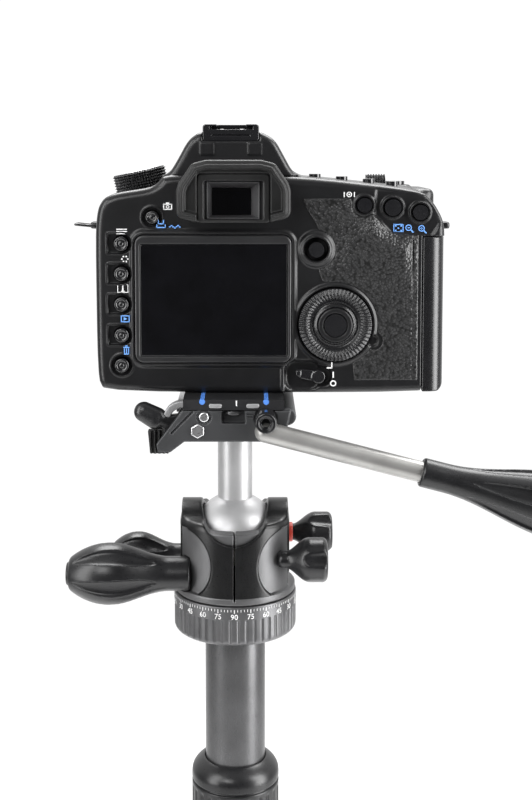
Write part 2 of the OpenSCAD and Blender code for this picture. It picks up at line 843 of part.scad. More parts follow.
back_button(left_x, left_z[3], button_r);  // left_button_4
back_button(left_x, left_z[4], button_r);  // left_button_5
back_button(live[0], live[1], live[2]);  // live_button
back_button(right[0][0], right[0][1], right[0][2]);  // right_button_1
back_button(right[1][0], right[1][1], right[1][2]);  // right_button_2
back_button(right[2][0], right[2][1], right[2][2]);  // right_button_3
top_buttons();
lens_barrel();
focus_ring();
lens_glass();
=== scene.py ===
import json
import math

import bmesh
import bpy
import numpy as np
import openvdb
from mathutils import Matrix, Vector


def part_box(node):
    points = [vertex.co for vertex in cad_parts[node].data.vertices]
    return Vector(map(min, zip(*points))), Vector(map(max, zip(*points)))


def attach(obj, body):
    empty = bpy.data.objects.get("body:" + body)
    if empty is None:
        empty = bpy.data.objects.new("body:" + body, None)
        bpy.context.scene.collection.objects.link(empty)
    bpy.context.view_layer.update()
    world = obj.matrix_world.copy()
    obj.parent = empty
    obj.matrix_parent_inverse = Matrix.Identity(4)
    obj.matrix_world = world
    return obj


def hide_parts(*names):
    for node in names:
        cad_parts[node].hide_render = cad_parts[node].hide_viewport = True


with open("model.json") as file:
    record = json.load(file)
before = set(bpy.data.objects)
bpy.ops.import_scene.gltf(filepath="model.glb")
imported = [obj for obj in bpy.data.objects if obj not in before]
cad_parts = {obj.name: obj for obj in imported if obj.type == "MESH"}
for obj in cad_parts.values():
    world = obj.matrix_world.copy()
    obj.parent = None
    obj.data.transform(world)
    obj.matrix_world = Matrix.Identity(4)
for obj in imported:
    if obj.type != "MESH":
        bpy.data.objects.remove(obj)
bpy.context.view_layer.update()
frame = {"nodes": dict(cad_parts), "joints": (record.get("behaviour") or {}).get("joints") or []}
nodes = frame["nodes"]
scene = bpy.context.scene
MM = 0.001

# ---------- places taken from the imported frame, in metres ----------

joint_at = {j["name"]: Vector(j["pos_m"]) for j in frame["joints"] if "pos_m" in j}
joint_axis = {j["name"]: Vector(j["axis"]) for j in frame["joints"]}
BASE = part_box("plate_cords")[1].z
LENS_X = joint_at["mirror_flip"].x
BACK_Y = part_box("card_door")[0].y
RING_LO, RING_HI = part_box("pan_ring")
RING_TOP = joint_at["pan_turn"].z
BALL = joint_at["ball_tilt"]
CAMERA = Vector((LENS_X, 0, BASE))
HEAD = Vector((0, 0, BALL.z))
CLAMP = Vector((0, 0, BASE))
AT_CAMERA, AT_HEAD, AT_CLAMP = (Matrix.Translation(at) for at in (CAMERA, HEAD, CLAMP))

# The camera's own sizes, in millimetres: X from the lens axis, Z from the base
BACK = BACK_Y / MM
SPLIT = BACK + 6
FRONT = 3
LEFT, RIGHT = -58.7, 92.6
DOOR_X, DOOR_TOP = 82.9, 68.5
TOP_SPLIT = 80
HUMP = 114.2
LENS_Z = 56
FLANGE = 20
BUTTON_X, BUTTON_OUT = -47.6, 1.6
BUTTON_Z = (65.7, 52.6, 39.3, 25.8, 12.6)
LIVE = (-34.1, 77.1)
THUMB = ((57.4, 82.3, 3.2), (69.6, 81.3, 3.6), (81.5, 79.2, 3.3))
DIAL, STICK, SWITCH = (45, 30.5), (36.7, 63.2), (37.8, 7.7)
SCREEN = (-41.8, 13.8, 26.0, 69.4)
EYE_X = 1.2
MODE = joint_at["mode_dial_turn"]
FINGER_DIAL, SHUTTER = (20, 88), (77.5, 31.5)
TOP_BUTTON_X, TOP_BUTTON_Y = (37, 49, 61, 71.5), -12
DOOR_HINGE = (90, 0.2)
MOUNT_SEAT, MOUNT_BORE = 35, 27

# The head's and the clamp's own sizes, in millimetres from the ball's centre and from the camera's base
SEATS = (("tilt_handle_turn", 8.0, -1), ("rear_handle_turn", 6.8, -1),
         ("front_knob_turn", 4.0, 1), ("rear_knob_turn", 4.0, 1))
SADDLE_R, SADDLE_HALF, BALL_R = 27.6, 24.5, 20.4
SCREW_WELL, SEAT_FLOOR = 9.1, 20.4
HANDLE_FACE = -24.9
LEVER_AXLE, LEVER_Y = (-25, -13), -41.5


# ---------- distance fields ----------

def smooth_min(a, b, blend):
    """The smaller of two fields, rounded over blend millimetres where they meet."""
    if blend <= 0:
        return np.minimum(a, b)
    h = np.clip(0.5 + 0.5 * (b - a) / blend, 0, 1)
    return b + (a - b) * h - blend * h * (1 - h)


def polygon(a, b, points, soft=0.0):
    """Signed distance in the plane to a closed outline, with its corners rounded by soft."""
    best = np.full(np.broadcast(a, b).shape, 1e9, np.float32)
    sign = np.ones_like(best)
    count = len(points)
    for i in range(count):
        (x0, y0), (x1, y1) = points[i], points[(i + 1) % count]
        ex, ey = x1 - x0, y1 - y0
        wx, wy = a - x0, b - y0
        t = np.clip((wx * ex + wy * ey) / (ex * ex + ey * ey), 0, 1)
        best = np.minimum(best, (wx - ex * t) ** 2 + (wy - ey * t) ** 2)
        c1, c2, c3 = b >= y0, b < y1, ex * wy > ey * wx
        flip = (c1 & c2 & c3) | (~c1 & ~c2 & ~c3)
        sign = np.where(flip, -sign, sign)
    return sign * np.sqrt(best) - soft


def rect(a, b, a0, b0, a1, b1, r=0.0):
    """Signed distance in the plane to a rectangle with round corners."""
    u = np.abs(a - (a0 + a1) / 2) - (a1 - a0) / 2 + r
    v = np.abs(b - (b0 + b1) / 2) - (b1 - b0) / 2 + r
    return np.minimum(np.maximum(u, v), 0) + np.hypot(np.maximum(u, 0), np.maximum(v, 0)) - r


def disc(a, b, ca, cb, r):
    return np.hypot(a - ca, b - cb) - r


def r_of(f):
    return np.hypot(f.x, f.y)


def prism(flat, along, lo, hi, r=0.0):
    """Extrudes a plane's field along the third axis from lo to hi, with edges rounded by r."""
    u = flat + r
    v = np.abs(along - (lo + hi) / 2) - (hi - lo) / 2 + r
    return np.minimum(np.maximum(u, v), 0) + np.hypot(np.maximum(u, 0), np.maximum(v, 0)) - r


def segment(x, y, z, p, q, r0, r1):
    """Capsule from p to q whose radius goes from r0 to r1."""
    p, q = np.array(p, np.float32), np.array(q, np.float32)
    d = q - p
    t = np.clip(((x - p[0]) * d[0] + (y - p[1]) * d[1] + (z - p[2]) * d[2]) / float(d @ d), 0, 1)
    away = np.sqrt((x - p[0] - d[0] * t) ** 2 + (y - p[1] - d[1] * t) ** 2 + (z - p[2] - d[2] * t) ** 2)
    return away - (r0 + (r1 - r0) * t)


def cut_corners(points, passes=1, share=0.25):
    """Rounds an outline by cutting every corner off at a share of each side, passes times."""
    for _ in range(passes):
        rounded = []
        for (x0, y0), (x1, y1) in zip(points, points[1:] + points[:1]):
            rounded += [(x0 + (x1 - x0) * share, y0 + (y1 - y0) * share),
                        (x1 - (x1 - x0) * share, y1 - (y1 - y0) * share)]
        points = rounded
    return points


def inset(points, by):
    """The same outline drawn in by a margin, so that rounding it brings it back to size."""
    cx = sum(p[0] for p in points) / len(points)
    cz = sum(p[1] for p in points) / len(points)
    half_w = max(abs(p[0] - cx) for p in points)
    half_h = max(abs(p[1] - cz) for p in points)
    return [(cx + (x - cx) * (1 - by / half_w), cz + (z - cz) * (1 - by / half_h)) for x, z in points]


def hexagon(x, z, r, turn=0.0):
    """Six points on a circle, the first one at the angle turn."""
    corners = [k * math.pi / 3 + turn for k in range(6)]
    return [(x + r * math.cos(a), z + r * math.sin(a)) for a in corners]


class Field:
    """A signed distance field in millimetres on a block of space."""

    band = 2.5

    def __init__(self, lo, hi, step):
        self.lo, self.step = lo, step
        counts = [int(math.ceil((b - a) / step)) + 1 for a, b in zip(lo, hi)]
        axes = [np.arange(n, dtype=np.float32) * step + a for n, a in zip(counts, lo)]
        self.x = axes[0][:, None, None]
        self.y = axes[1][None, :, None]
        self.z = axes[2][None, None, :]
        self.d = np.full(counts, 50, np.float32)

    def add(self, shape, blend=0):
        self.d = smooth_min(self.d, shape, blend)

    def cut(self, shape, blend=0):
        self.d = -smooth_min(-self.d, shape, blend)

    def keep(self, shape, blend=0):
        self.d = -smooth_min(-self.d, -shape, blend)

    def rect(self, *sizes):
        return rect(self.x, self.z, *sizes)

    def disc(self, *sizes):
        return disc(self.x, self.z, *sizes)

    def outline(self, points, soft=0.0):
        return polygon(self.x, self.z, points, soft)

    def slab(self, flat, lo, hi, r=0.0):
        """Extrudes a field in X and Z along Y, from lo to hi measured from the camera's back."""
        return prism(flat, self.y, BACK + lo, BACK + hi, r)

    def piece(self, name, place, body, slot, material, *stands_for):
        """Meshes the surface as a piece; place turns its millimetres into the row frame."""
        grid = openvdb.FloatGrid(self.band)
        grid.copyFromArray(np.ascontiguousarray(np.clip(self.d, -self.band, self.band), np.float32))
        points, triangles, quads = grid.convertToPolygons(isovalue=0.0, adaptivity=0.0)
        points = points * self.step + np.array(self.lo)
        corner, e1, e2 = (points[quads[:, i]] for i in (0, 1, 2))
        volume = np.einsum("ij,ij->i", corner, np.cross(e1, e2)).sum()
        faces = [tuple(f) for f in (quads if volume > 0 else quads[:, ::-1]).tolist()]
        faces += [tuple(f) for f in (triangles if volume > 0 else triangles[:, ::-1]).tolist()]
        data = bpy.data.meshes.new(name)
        data.from_pydata(points.tolist(), [], faces)
        data.transform(place @ Matrix.Scale(MM, 4))
        data.shade_smooth()
        piece(linked(name, data), body, slot, material, *stands_for)


def linked(name, data):
    """A new object for a mesh, a lamp or a camera, in the scene."""
    obj = bpy.data.objects.new(name, data)
    scene.collection.objects.link(obj)
    return obj


def solid(name, bm):
    """A new object from an edited mesh, which is freed."""
    data = bpy.data.meshes.new(name)
    bm.to_mesh(data)
    bm.free()
    return linked(name, data)


def piece(obj, body, slot, material, *stands_for):
    """Gives a piece its body and material, and hides the CAD nodes that it stands for; its slot is not used.
    """
    obj.data.materials.clear()
    obj.data.materials.append(material)
    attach(obj, body)
    if stands_for:
        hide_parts(*stands_for)


# ---------- materials ----------

def material(name):
    mat = bpy.data.materials.new(name)
    mat.use_nodes = True
    tree = mat.node_tree
    shader = tree.nodes["Principled BSDF"]
    where = tree.nodes.new("ShaderNodeTexCoord")
    return mat, tree, shader, where.outputs["Object"]


def noise(tree, where, scale, detail=3.0, stretch=(1, 1, 1)):
    mapping = tree.nodes.new("ShaderNodeMapping")
    mapping.inputs["Scale"].default_value = stretch
    tree.links.new(where, mapping.inputs["Vector"])
    tex = tree.nodes.new("ShaderNodeTexNoise")
    tex.inputs["Scale"].default_value = scale
    tex.inputs["Detail"].default_value = detail
    tree.links.new(mapping.outputs["Vector"], tex.inputs["Vector"])
    return tex.outputs["Fac"]


def ramp(tree, fac, lo, hi, a, b):
    """Maps a value to a colour or a grey that goes from a to b between lo and hi."""
    node = tree.nodes.new("ShaderNodeValToRGB")
    node.color_ramp.elements[0].position = lo
    node.color_ramp.elements[1].position = hi
    for element, colour in zip(node.color_ramp.elements, (a, b)):
        rgb = (colour,) * 3 if isinstance(colour, float) else colour
        element.color = (*rgb, 1)
    tree.links.new(fac, node.inputs["Fac"])
    return node.outputs["Color"]


def bump(tree, shader, height, strength, distance):
    node = tree.nodes.new("ShaderNodeBump")
    node.inputs["Strength"].default_value = strength
    node.inputs["Distance"].default_value = distance
    tree.links.new(height, node.inputs["Height"])
    tree.links.new(node.outputs["Normal"], shader.inputs["Normal"])


def finish(name, dark, light, rough, grain, metallic=0.0, strength=0.25, depth=0.00008, coat=0.0,
           stretch=(1, 1, 1), specular=0.5):
    """A finish whose colour, roughness and fine relief vary over the surface."""
    mat, tree, shader, where = material(name)
    shader.inputs["Metallic"].default_value = metallic
    shader.inputs["Coat Weight"].default_value = coat
    shader.inputs["Coat Roughness"].default_value = 0.12
    shader.inputs["Specular IOR Level"].default_value = specular
    cloud = noise(tree, where, 90, 4.0)
    tree.links.new(ramp(tree, cloud, 0.3, 0.7, dark, light), shader.inputs["Base Color"])
    fine = noise(tree, where, grain, 2.0, stretch)
    tree.links.new(ramp(tree, fine, 0.25, 0.75, rough[0], rough[1]), shader.inputs["Roughness"])
    bump(tree, shader, fine, strength, depth)
    return mat


def leather_material():
    """Moulded leather grain: rounded pebbles a millimetre across, with painted shade that darkens the
    valleys between them.
    """
    mat, tree, shader, where = material("leatherette")
    cells = tree.nodes.new("ShaderNodeTexVoronoi")
    cells.feature = "SMOOTH_F1"
    cells.inputs["Scale"].default_value = 900
    cells.inputs["Smoothness"].default_value = 0.35
    tree.links.new(where, cells.inputs["Vector"])
    height = ramp(tree, cells.outputs["Distance"], 0.15, 0.75, 1.0, 0.0)
    # Painted shade: the colour goes darker towards the valleys between the pebbles.
    colour = ramp(tree, cells.outputs["Distance"], 0.3, 0.8, (0.02, 0.02, 0.0206), (0.004, 0.004, 0.004))
    tree.links.new(colour, shader.inputs["Base Color"])
    tree.links.new(ramp(tree, noise(tree, where, 200), 0.3, 0.7, 0.32, 0.42), shader.inputs["Roughness"])
    bump(tree, shader, height, 0.9, 0.0002)
    return mat


def glass_material(name, painted_reflection_tint, rough, coat):
    """Coated optical glass, with a painted purple-blue reflection in its base colour that follows the
    viewing angle, and a faint cloudy relief.
    """
    mat, tree, shader, where = material(name)
    shader.inputs["Roughness"].default_value = rough
    shader.inputs["Coat Weight"].default_value = coat
    shader.inputs["Coat Roughness"].default_value = 0.02
    shader.inputs["IOR"].default_value = 1.52
    facing = tree.nodes.new("ShaderNodeLayerWeight")
    facing.inputs["Blend"].default_value = 0.35
    # Painted reflection: the base colour blends from the first colour to the second as the surface turns
    # away from the view.
    tree.links.new(ramp(tree, facing.outputs["Facing"], 0.05, 0.8, *painted_reflection_tint), shader.inputs["Base Color"])
    bump(tree, shader, noise(tree, where, 30), 0.02, 0.0001)
    return mat


shell = finish("black_crackle", (0.006, 0.006, 0.0064), (0.009, 0.009, 0.0098), (0.28, 0.38), 2600,
               strength=0.22, depth=0.00005, specular=0.4)
shell_smooth = finish("black_satin", (0.006, 0.006, 0.0066), (0.010, 0.010, 0.011), (0.22, 0.32), 1800,
                      strength=0.1, depth=0.00003)
gloss = finish("gloss_black", (0.008, 0.008, 0.009), (0.012, 0.012, 0.013), (0.12, 0.2), 900,
               strength=0.05, depth=0.00003, coat=0.3)
rubber = finish("black_rubber", (0.006, 0.006, 0.006), (0.011, 0.011, 0.011), (0.42, 0.56), 2200,
                strength=0.25, depth=0.00005, specular=0.35)
grip_rubber = finish("handle_rubber", (0.006, 0.006, 0.0065), (0.011, 0.011, 0.012), (0.26, 0.36), 1700,
                     strength=0.1, depth=0.00004, specular=0.45)
black_alloy = finish("black_anodised", (0.016, 0.016, 0.017), (0.026, 0.026, 0.028), (0.34, 0.44), 2400,
                     metallic=0.35, strength=0.2, depth=0.00004)
clamp_alloy = finish("clamp_anodised", (0.045, 0.046, 0.048), (0.06, 0.061, 0.064), (0.42, 0.52), 2600,
                     metallic=0.5, strength=0.3, depth=0.00005)
tube_alloy = finish("dark_tube", (0.1, 0.1, 0.102), (0.125, 0.125, 0.128), (0.26, 0.32), 900,
                    metallic=0.75, strength=0.12, depth=0.00003, stretch=(8, 8, 0.4))
ring_alloy = finish("ring_anodised", (0.10, 0.10, 0.103), (0.135, 0.135, 0.138), (0.34, 0.44), 1500,
                    metallic=0.7, strength=0.15, depth=0.00004)
saddle_black = finish("saddle_black", (0.004, 0.004, 0.0042), (0.007, 0.007, 0.0074), (0.26, 0.34), 2400,
                      strength=0.12, depth=0.00004, specular=0.35)
drum_grey = finish("drum_satin", (0.1, 0.1, 0.102), (0.125, 0.125, 0.128), (0.36, 0.46), 1800,
                   metallic=0.6, strength=0.15, depth=0.00004)
funnel_grey = finish("funnel_grey", (0.05, 0.05, 0.052), (0.075, 0.075, 0.078), (0.4, 0.5), 1400,
                     strength=0.1, depth=0.00003)
silver = finish("silver_satin", (0.42, 0.42, 0.425), (0.5, 0.5, 0.505), (0.4, 0.48), 1200,
                metallic=0.6, strength=0.1, depth=0.00002, stretch=(6, 6, 0.5))
rod_steel = finish("rod_satin", (0.3, 0.295, 0.285), (0.38, 0.375, 0.365), (0.34, 0.42), 1500,
                   metallic=0.7, strength=0.12, depth=0.00003, stretch=(0.3, 6, 6))
bright = finish("bright_steel", (0.6, 0.6, 0.61), (0.72, 0.72, 0.73), (0.25, 0.35), 1500,
                metallic=0.95, strength=0.1, depth=0.00003)
blue = finish("blue_rubber", (0.05, 0.16, 0.52), (0.08, 0.23, 0.66), (0.45, 0.55), 1500,
              strength=0.2, depth=0.00005)
red = finish("red_collar", (0.35, 0.03, 0.02), (0.5, 0.05, 0.03), (0.35, 0.45), 900)
nylon = finish("nylon", (0.62, 0.6, 0.54), (0.72, 0.7, 0.63), (0.4, 0.5), 700)
white_ink = finish("white_ink", (0.72, 0.72, 0.72), (0.82, 0.82, 0.82), (0.5, 0.6), 900, strength=0.05)
blue_ink = finish("blue_ink", (0.12, 0.3, 0.72), (0.16, 0.38, 0.82), (0.5, 0.6), 900, strength=0.05)
leather = leather_material()
screen_frame = finish("screen_surround", (0.012, 0.012, 0.013), (0.018, 0.018, 0.019), (0.3, 0.4), 1500,
                      strength=0.08, depth=0.00003)
slot_grey = finish("cast_grey", (0.3, 0.3, 0.305), (0.4, 0.4, 0.405), (0.4, 0.5), 1400,
                   metallic=0.5, strength=0.15, depth=0.00004)
board = finish("sensor_board", (0.02, 0.08, 0.05), (0.04, 0.12, 0.08), (0.4, 0.6), 600)
screen_dark = finish("screen_glass", (0.0025, 0.0025, 0.003), (0.004, 0.004, 0.005), (0.1, 0.14), 300,
                     strength=0.01, depth=0.00002, coat=0.2)
# The colour pairs of the two glasses are painted coating reflections, blended by the viewing angle.
finder_glass = glass_material("finder_glass", ((0.002, 0.002, 0.003), (0.10, 0.012, 0.06)), 0.06, 0.6)
optic = glass_material("coated_glass", ((0.03, 0.012, 0.05), (0.008, 0.01, 0.03)), 0.06, 0.8)
mirror_glass = finish("mirror_glass", (0.8, 0.81, 0.83), (0.86, 0.87, 0.89), (0.02, 0.05), 200,
                      metallic=1.0, strength=0.01, depth=0.00001)


# ---------- camera pieces ----------

BODY_OUTLINE = [(LEFT + 3, 0.2), (RIGHT - 5, 0), (RIGHT, 5), (RIGHT, 70), (RIGHT - 1, 76), (88, 82.6),
                (82.4, 88), (29.6, 94.0), (-28.4, 95.0), (-31.5, 91.2), (-36, 88.8), (-50.5, 86.6),
                (-55.2, 84.6), (-57.6, 80.5), (LEFT, 70), (LEFT + 0.4, 6)]
HUMP_OUTLINE = [(-31, 80), (-31, 91), (-26.6, 95.3), (-23.2, 101), (-18.4, 110.2), (-12.8, HUMP),
                (11.6, HUMP), (18.6, 110.4), (22.9, 102.3), (26.0, 96.4), (30.5, 92), (30.5, 80)]
GRIP_OUTLINE = [(48, 0), (58, 30), (66, 38), (80, 38), (90, 28), (91.5, 0)]


def body_plane(f):
    return f.outline(cut_corners(inset(BODY_OUTLINE, 1.5), 2, 0.2), 1.5)


def hump_plane(f):
    return f.outline(cut_corners(inset(HUMP_OUTLINE, 1.5), 2, 0.2), 1.5)


def grip_plane(f):
    return polygon(f.x, f.y, inset(GRIP_OUTLINE, 4), 4)


def finder_funnel(f):
    """Four flat walls that open away from the finder glass."""
    wide = np.clip((BACK - 1.5 - f.y) / 8.5, 0, 1)
    u = np.abs(f.x - EYE_X * wide) - 8.6 - 3.9 * wide
    v = np.abs(f.z - 83.85 - 1.2 * wide) - 6.2 - 2.6 * wide
    return np.maximum(u, v)


def dish(f, x, z, r, depth, lip=0.4):
    """Round recess in the back with a fine raised lip."""
    flat = f.disc(x, z, r)
    f.add(f.slab(np.abs(flat - 0.5) - 0.45, -lip, 1, 0.3), 0.3)
    f.cut(f.slab(flat, -5, depth, 0.3), 0.3)


def rear_cover():
    f = Field((LEFT - 3, BACK - 12, -3), (RIGHT + 3, SPLIT + 2, 100), 0.4)
    f.add(prism(body_plane(f), f.y, BACK, SPLIT + 8, 3.4))
    f.keep(f.y - (SPLIT - 0.05))
    # Raised rim round the screen and its seat
    rim = f.rect(SCREEN[0] - 1.7, SCREEN[1] - 1.7, SCREEN[2] + 1.9, SCREEN[3] + 1.9, 5.6)
    f.add(f.slab(rim, -1.1, 2, 0.9), 1.2)
    f.cut(f.slab(f.rect(*SCREEN, 4) - 0.25, -5, 1.2))
    # Square-sided recesses of the four upper left buttons, and the round ones
    for z in BUTTON_Z[:4]:
        flat = np.minimum(f.rect(BUTTON_X - 5.9, z - 4.3, BUTTON_X + 1, z + 4.3, 0.8),
                          f.disc(BUTTON_X + 0.1, z, 4.4))
        f.add(f.slab(np.abs(flat - 0.35) - 0.35, -0.3, 1, 0.2), 0.3)
        f.cut(f.slab(flat, -5, 1.3, 0.3), 0.25)
    dish(f, BUTTON_X, BUTTON_Z[4], 4.4, 1.3)
    dish(f, *LIVE, 4.2, 1.3)
    # Mounds under the joystick and the dial
    f.add(f.slab(f.disc(*STICK, 7.6), -1.3, 2, 1.2), 1.4)
    f.cut(f.slab(f.disc(*STICK, 5.2), -5, 2.8, 0.4), 0.5)
    f.add(f.slab(np.abs(f.disc(*STICK, 5.7)) - 0.4, -1.9, 0, 0.35), 0.3)
    f.add(f.slab(f.disc(*DIAL, 17.7), -1.0, 2, 0.9), 1.2)
    ring = np.maximum(f.disc(*DIAL, 16.4), 7.5 - np.hypot(f.x - DIAL[0], f.z - DIAL[1]))
    f.cut(f.slab(ring, -8, 2.5, 0.3), 0.2)
    hub = f.disc(*DIAL, 7.5)
    f.add(f.slab(np.abs(hub + 1.2) - 1.2, -3.3, 2.6, 0.7))
    # Valley of the power switch, with its rounded wall at the left
    valley = np.minimum(f.rect(23.5, 1.4, 38.5, 14.2, 4.5), f.rect(26, 3.5, 43.5, 12, 4.2))
    f.cut(f.slab(valley, -5, 2.2, 1.2), 1.6)
    f.add(f.slab(f.rect(21.4, 0.8, 22.8, 13.6, 0.7), -0.5, 1, 0.5), 0.6)
    f.cut(f.slab(f.disc(61.3, 23.4, 2.4), -5, 0.8, 0.6), 0.8)
    # Lower, dark panel of the thumb buttons
    panel = f.outline([(63.4, 88), (62.8, 78.5), (69.6, 71.2), (86, 69.9), (90, 76), (83, 86)], 0.8)
    f.cut(f.slab(panel, -5, 1.0, 0.8), 1.4)
    for x, z, r in THUMB:
        f.add(f.slab(np.abs(f.disc(x, z, r + 0.9)) - 0.55, -0.6, 2, 0.45), 0.6)
        f.cut(f.slab(f.disc(x, z, r + 0.3), -5, 5.4))
    for x, z, r in [(BUTTON_X, z, 3.1) for z in BUTTON_Z] + [(*LIVE, 2.8)]:
        f.cut(f.slab(f.disc(x, z, r + 0.3), -5, 5.4))
    f.cut(f.slab(f.disc(*DIAL, 5.1), -8, 4.8))
    f.cut(f.slab(f.disc(*STICK, 2.8), -8, 8))
    # Card door's seat, finder frame and its funnel
    f.cut(prism(f.rect(DOOR_X - 0.3, 0.5, RIGHT + 9, DOOR_TOP + 0.3), f.y, BACK - 5, SPLIT + 3))
    f.add(f.slab(f.rect(-15.2, 75.6, 15.2, 96.2, 1.6), -10, 3, 0.5), 0.3)
    f.cut(np.maximum(finder_funnel(f), f.y - SPLIT - 1), 0.2)
    f.piece("rear_cover", AT_CAMERA, "camera", "cam_shell", shell, "cam_rear")


def screen_parts():
    """Charcoal surround of the rear screen, and the black pane sunk into it."""
    x0, z0, x1, z1 = SCREEN
    pane = (x0 + 2.2, z0 + 2.8, x1 - 1.5, z1 - 3.8, 0.8)
    f = Field((x0 - 1, BACK - 4, z0 - 1), (x1 + 1, BACK + 2, z1 + 1), 0.3)
    f.add(f.slab(f.rect(x0, z0, x1, z1, 4), -1.6, 1.0, 0.8))
    f.cut(f.slab(f.rect(*pane), -5, -0.9, 0.2), 0.3)
    f.piece("screen_surround", AT_CAMERA, "camera", "cam_plastic", screen_frame, "lcd_window")
    g = Field((x0 + 2, BACK - 3, z0 + 3), (x1 - 2, BACK + 1, z1 - 2), 0.3)
    g.add(g.slab(g.rect(*pane) + 0.2, -1.3, 0.2, 0.3))
    g.piece("screen_pane", AT_CAMERA, "camera", "screen_glass", screen_dark)


def thumb_rest():
    """Leatherette pad, with cut-outs round the joystick, the dial, its lamp and the first thumb button."""
    f = Field((28, BACK - 8, 3), (DOOR_X + 1, BACK + 2, 88), 0.33)
    pad = [(31.2, 84.8), (51.0, 84.9), (54.4, 79.9), (60.7, 78.5), (67.6, 71.0), (71.9, 69.4),
           (DOOR_X - 2.4, 69.0), (DOOR_X - 2.4, 6.4), (53.7, 6.4), (53.0, 13.6), (55, 16), (55.5, 44),
           (44.6, 48.8), (39.7, 49.6), (38.2, 53.5), (38.3, 71.7), (36.1, 75.9), (33.3, 80.1)]
    flat = f.outline(pad, 0.5)
    for x, z, r in ((*DIAL, 18.3), (*STICK, 8.3), (THUMB[0][0], THUMB[0][1], 4.9), (61.8, 23.4, 3.8)):
        flat = np.maximum(flat, -f.disc(x, z, r))
    along = (f.x - 66) * 0.64 + (f.z - 73) * -0.77
    across = (f.x - 66) * 0.77 + (f.z - 73) * 0.64
    swell = 2.6 * np.exp(-(along / 22) ** 2 - (across / 7.5) ** 2)
    swell = swell + 1.1 * np.exp(-((f.x - 60) / 16) ** 2 - ((f.z - 62) / 20) ** 2)
    face = BACK - 0.4 - swell * np.clip(-flat / 6, 0, 1) - f.y
    f.add(-smooth_min(-flat, -face, 0.9))
    f.keep(f.y - BACK - 1)
    # Fine piped border beside the card door
    f.cut(f.slab(np.abs(f.x - DOOR_X + 4.4) - 0.22 + 0 * f.z, -9, -0.25), 0.3)
    f.piece("thumb_rest", AT_CAMERA, "camera", "cam_shell", leather)


def top_cover():
    f = Field((LEFT - 3, BACK, 76), (RIGHT + 3, 42, HUMP + 4), 0.5)
    f.add(prism(body_plane(f), f.y, SPLIT, FRONT + 1, 2.0))
    f.add(prism(grip_plane(f), f.z, 70, 88, 3.0), 4)
    f.add(prism(hump_plane(f), f.y, BACK + 3.2, FLANGE - 1, 3.0), 3.0)
    f.add(prism(f.disc(0, LENS_Z, MOUNT_SEAT), f.y, FRONT - 4, FLANGE, 1.0), 2)
    f.cut(prism(f.disc(0, LENS_Z, MOUNT_BORE), f.y, 5, FLANGE + 3))
    # Pocket of the accessory shoe, and the pads under it
    f.cut(f.slab(f.rect(-12.6, HUMP - 4.2, 12.2, HUMP + 9, 0.5), -2, 6, 0.4), 0.6)
    for x in (-10.6, 10.2):
        f.add(f.slab(f.rect(x - 3.0, HUMP - 10.4, x + 3.0, HUMP - 5.0, 0.5), 2.8, 5, 0.2), 0.4)
    f.keep(TOP_SPLIT + 0.05 - f.z)
    f.cut(np.maximum(f.y - SPLIT, f.z - 94.6))
    turn = (MODE - CAMERA) / MM
    lean = joint_axis["mode_dial_turn"]
    up = (f.x - turn.x) * lean.x + (f.z - turn.z) * lean.z
    side = np.sqrt(np.maximum((f.x - turn.x) ** 2 + (f.y - turn.y) ** 2 + (f.z - turn.z) ** 2 - up ** 2, 0))
    f.add(np.maximum(side - 10.6, np.abs(up + 4.2) - 2.9), 1.0)
    f.cut(np.maximum(side - 13.2, np.maximum(-0.9 - up, up - 14)), 0.5)
    f.cut(np.maximum(side - 3.2, np.abs(up) - 5))
    f.keep(TOP_SPLIT + 0.05 - f.z)
    f.cut(prism(disc(f.y, f.z, *FINGER_DIAL, 9.7), f.x, 61.8, 72.2))
    f.cut(prism(disc(f.x, f.y, *SHUTTER, 4.9), f.z, 82, 99))
    f.add(prism(np.abs(disc(f.x, f.y, *SHUTTER, 6)) - 1.0, f.z, 84, 88.8, 0.6), 0.8)
    for x in TOP_BUTTON_X:
        f.cut(prism(disc(f.x, f.y, x, TOP_BUTTON_Y, 2.9), f.z, 84, 110))
    f.piece("top_cover", AT_CAMERA, "camera", "cam_shell", shell, "cam_top")


def front_body():
    f = Field((LEFT - 6, SPLIT - 2, -2), (RIGHT + 6, 42, TOP_SPLIT + 2), 0.6)
    f.add(prism(body_plane(f), f.y, SPLIT - 6, FRONT, 2.5))
    f.add(prism(grip_plane(f), f.z, 1, TOP_SPLIT + 8, 3.0), 5)
    f.add(prism(f.disc(0, LENS_Z, MOUNT_SEAT), f.y, FRONT - 4, FLANGE, 1.2), 3)
    f.add(prism(f.rect(-33, 22, 33, TOP_SPLIT + 6, 8), f.y, FRONT - 4, 14, 2.5), 3)
    for x in (LEFT - 4, RIGHT - 1):
        f.add(prism(rect(f.x, f.y, x, -20, x + 5, -12, 1.5), f.z, 71, 74, 0.8), 0.5)
    f.keep(SPLIT + 0.05 - f.y)
    f.keep(f.z - TOP_SPLIT)
    f.cut(prism(f.disc(0, LENS_Z, MOUNT_BORE), f.y, 5, FLANGE + 3))
    f.cut(prism(f.rect(-20, 36, 20, 99), f.y, -14, 16))
    f.cut(prism(f.rect(DOOR_X - 0.3, 0.5, RIGHT + 9, DOOR_TOP + 0.6), f.y, SPLIT - 3, -24))
    f.cut(prism(f.rect(RIGHT - 4, 0.5, RIGHT + 9, DOOR_TOP + 0.6), f.y, SPLIT - 3, -0.6))
    f.cut(prism(disc(f.x, f.y, *DOOR_HINGE, 2.6), f.z, 9.5, 60.5))
    f.cut(prism(rect(f.x, f.y, 58.7, 4.2, 90.6, 33.8), f.z, -3, 2.2))
    f.cut(prism(rect(f.x, f.y, 62, 6, 84, 32), f.z, -3, 61))
    f.cut(prism(disc(f.y, f.z, *FINGER_DIAL, 9.7), f.x, 61.8, 72.2))
    f.piece("front_body", AT_CAMERA, "camera", "cam_shell", shell, "cam_body")


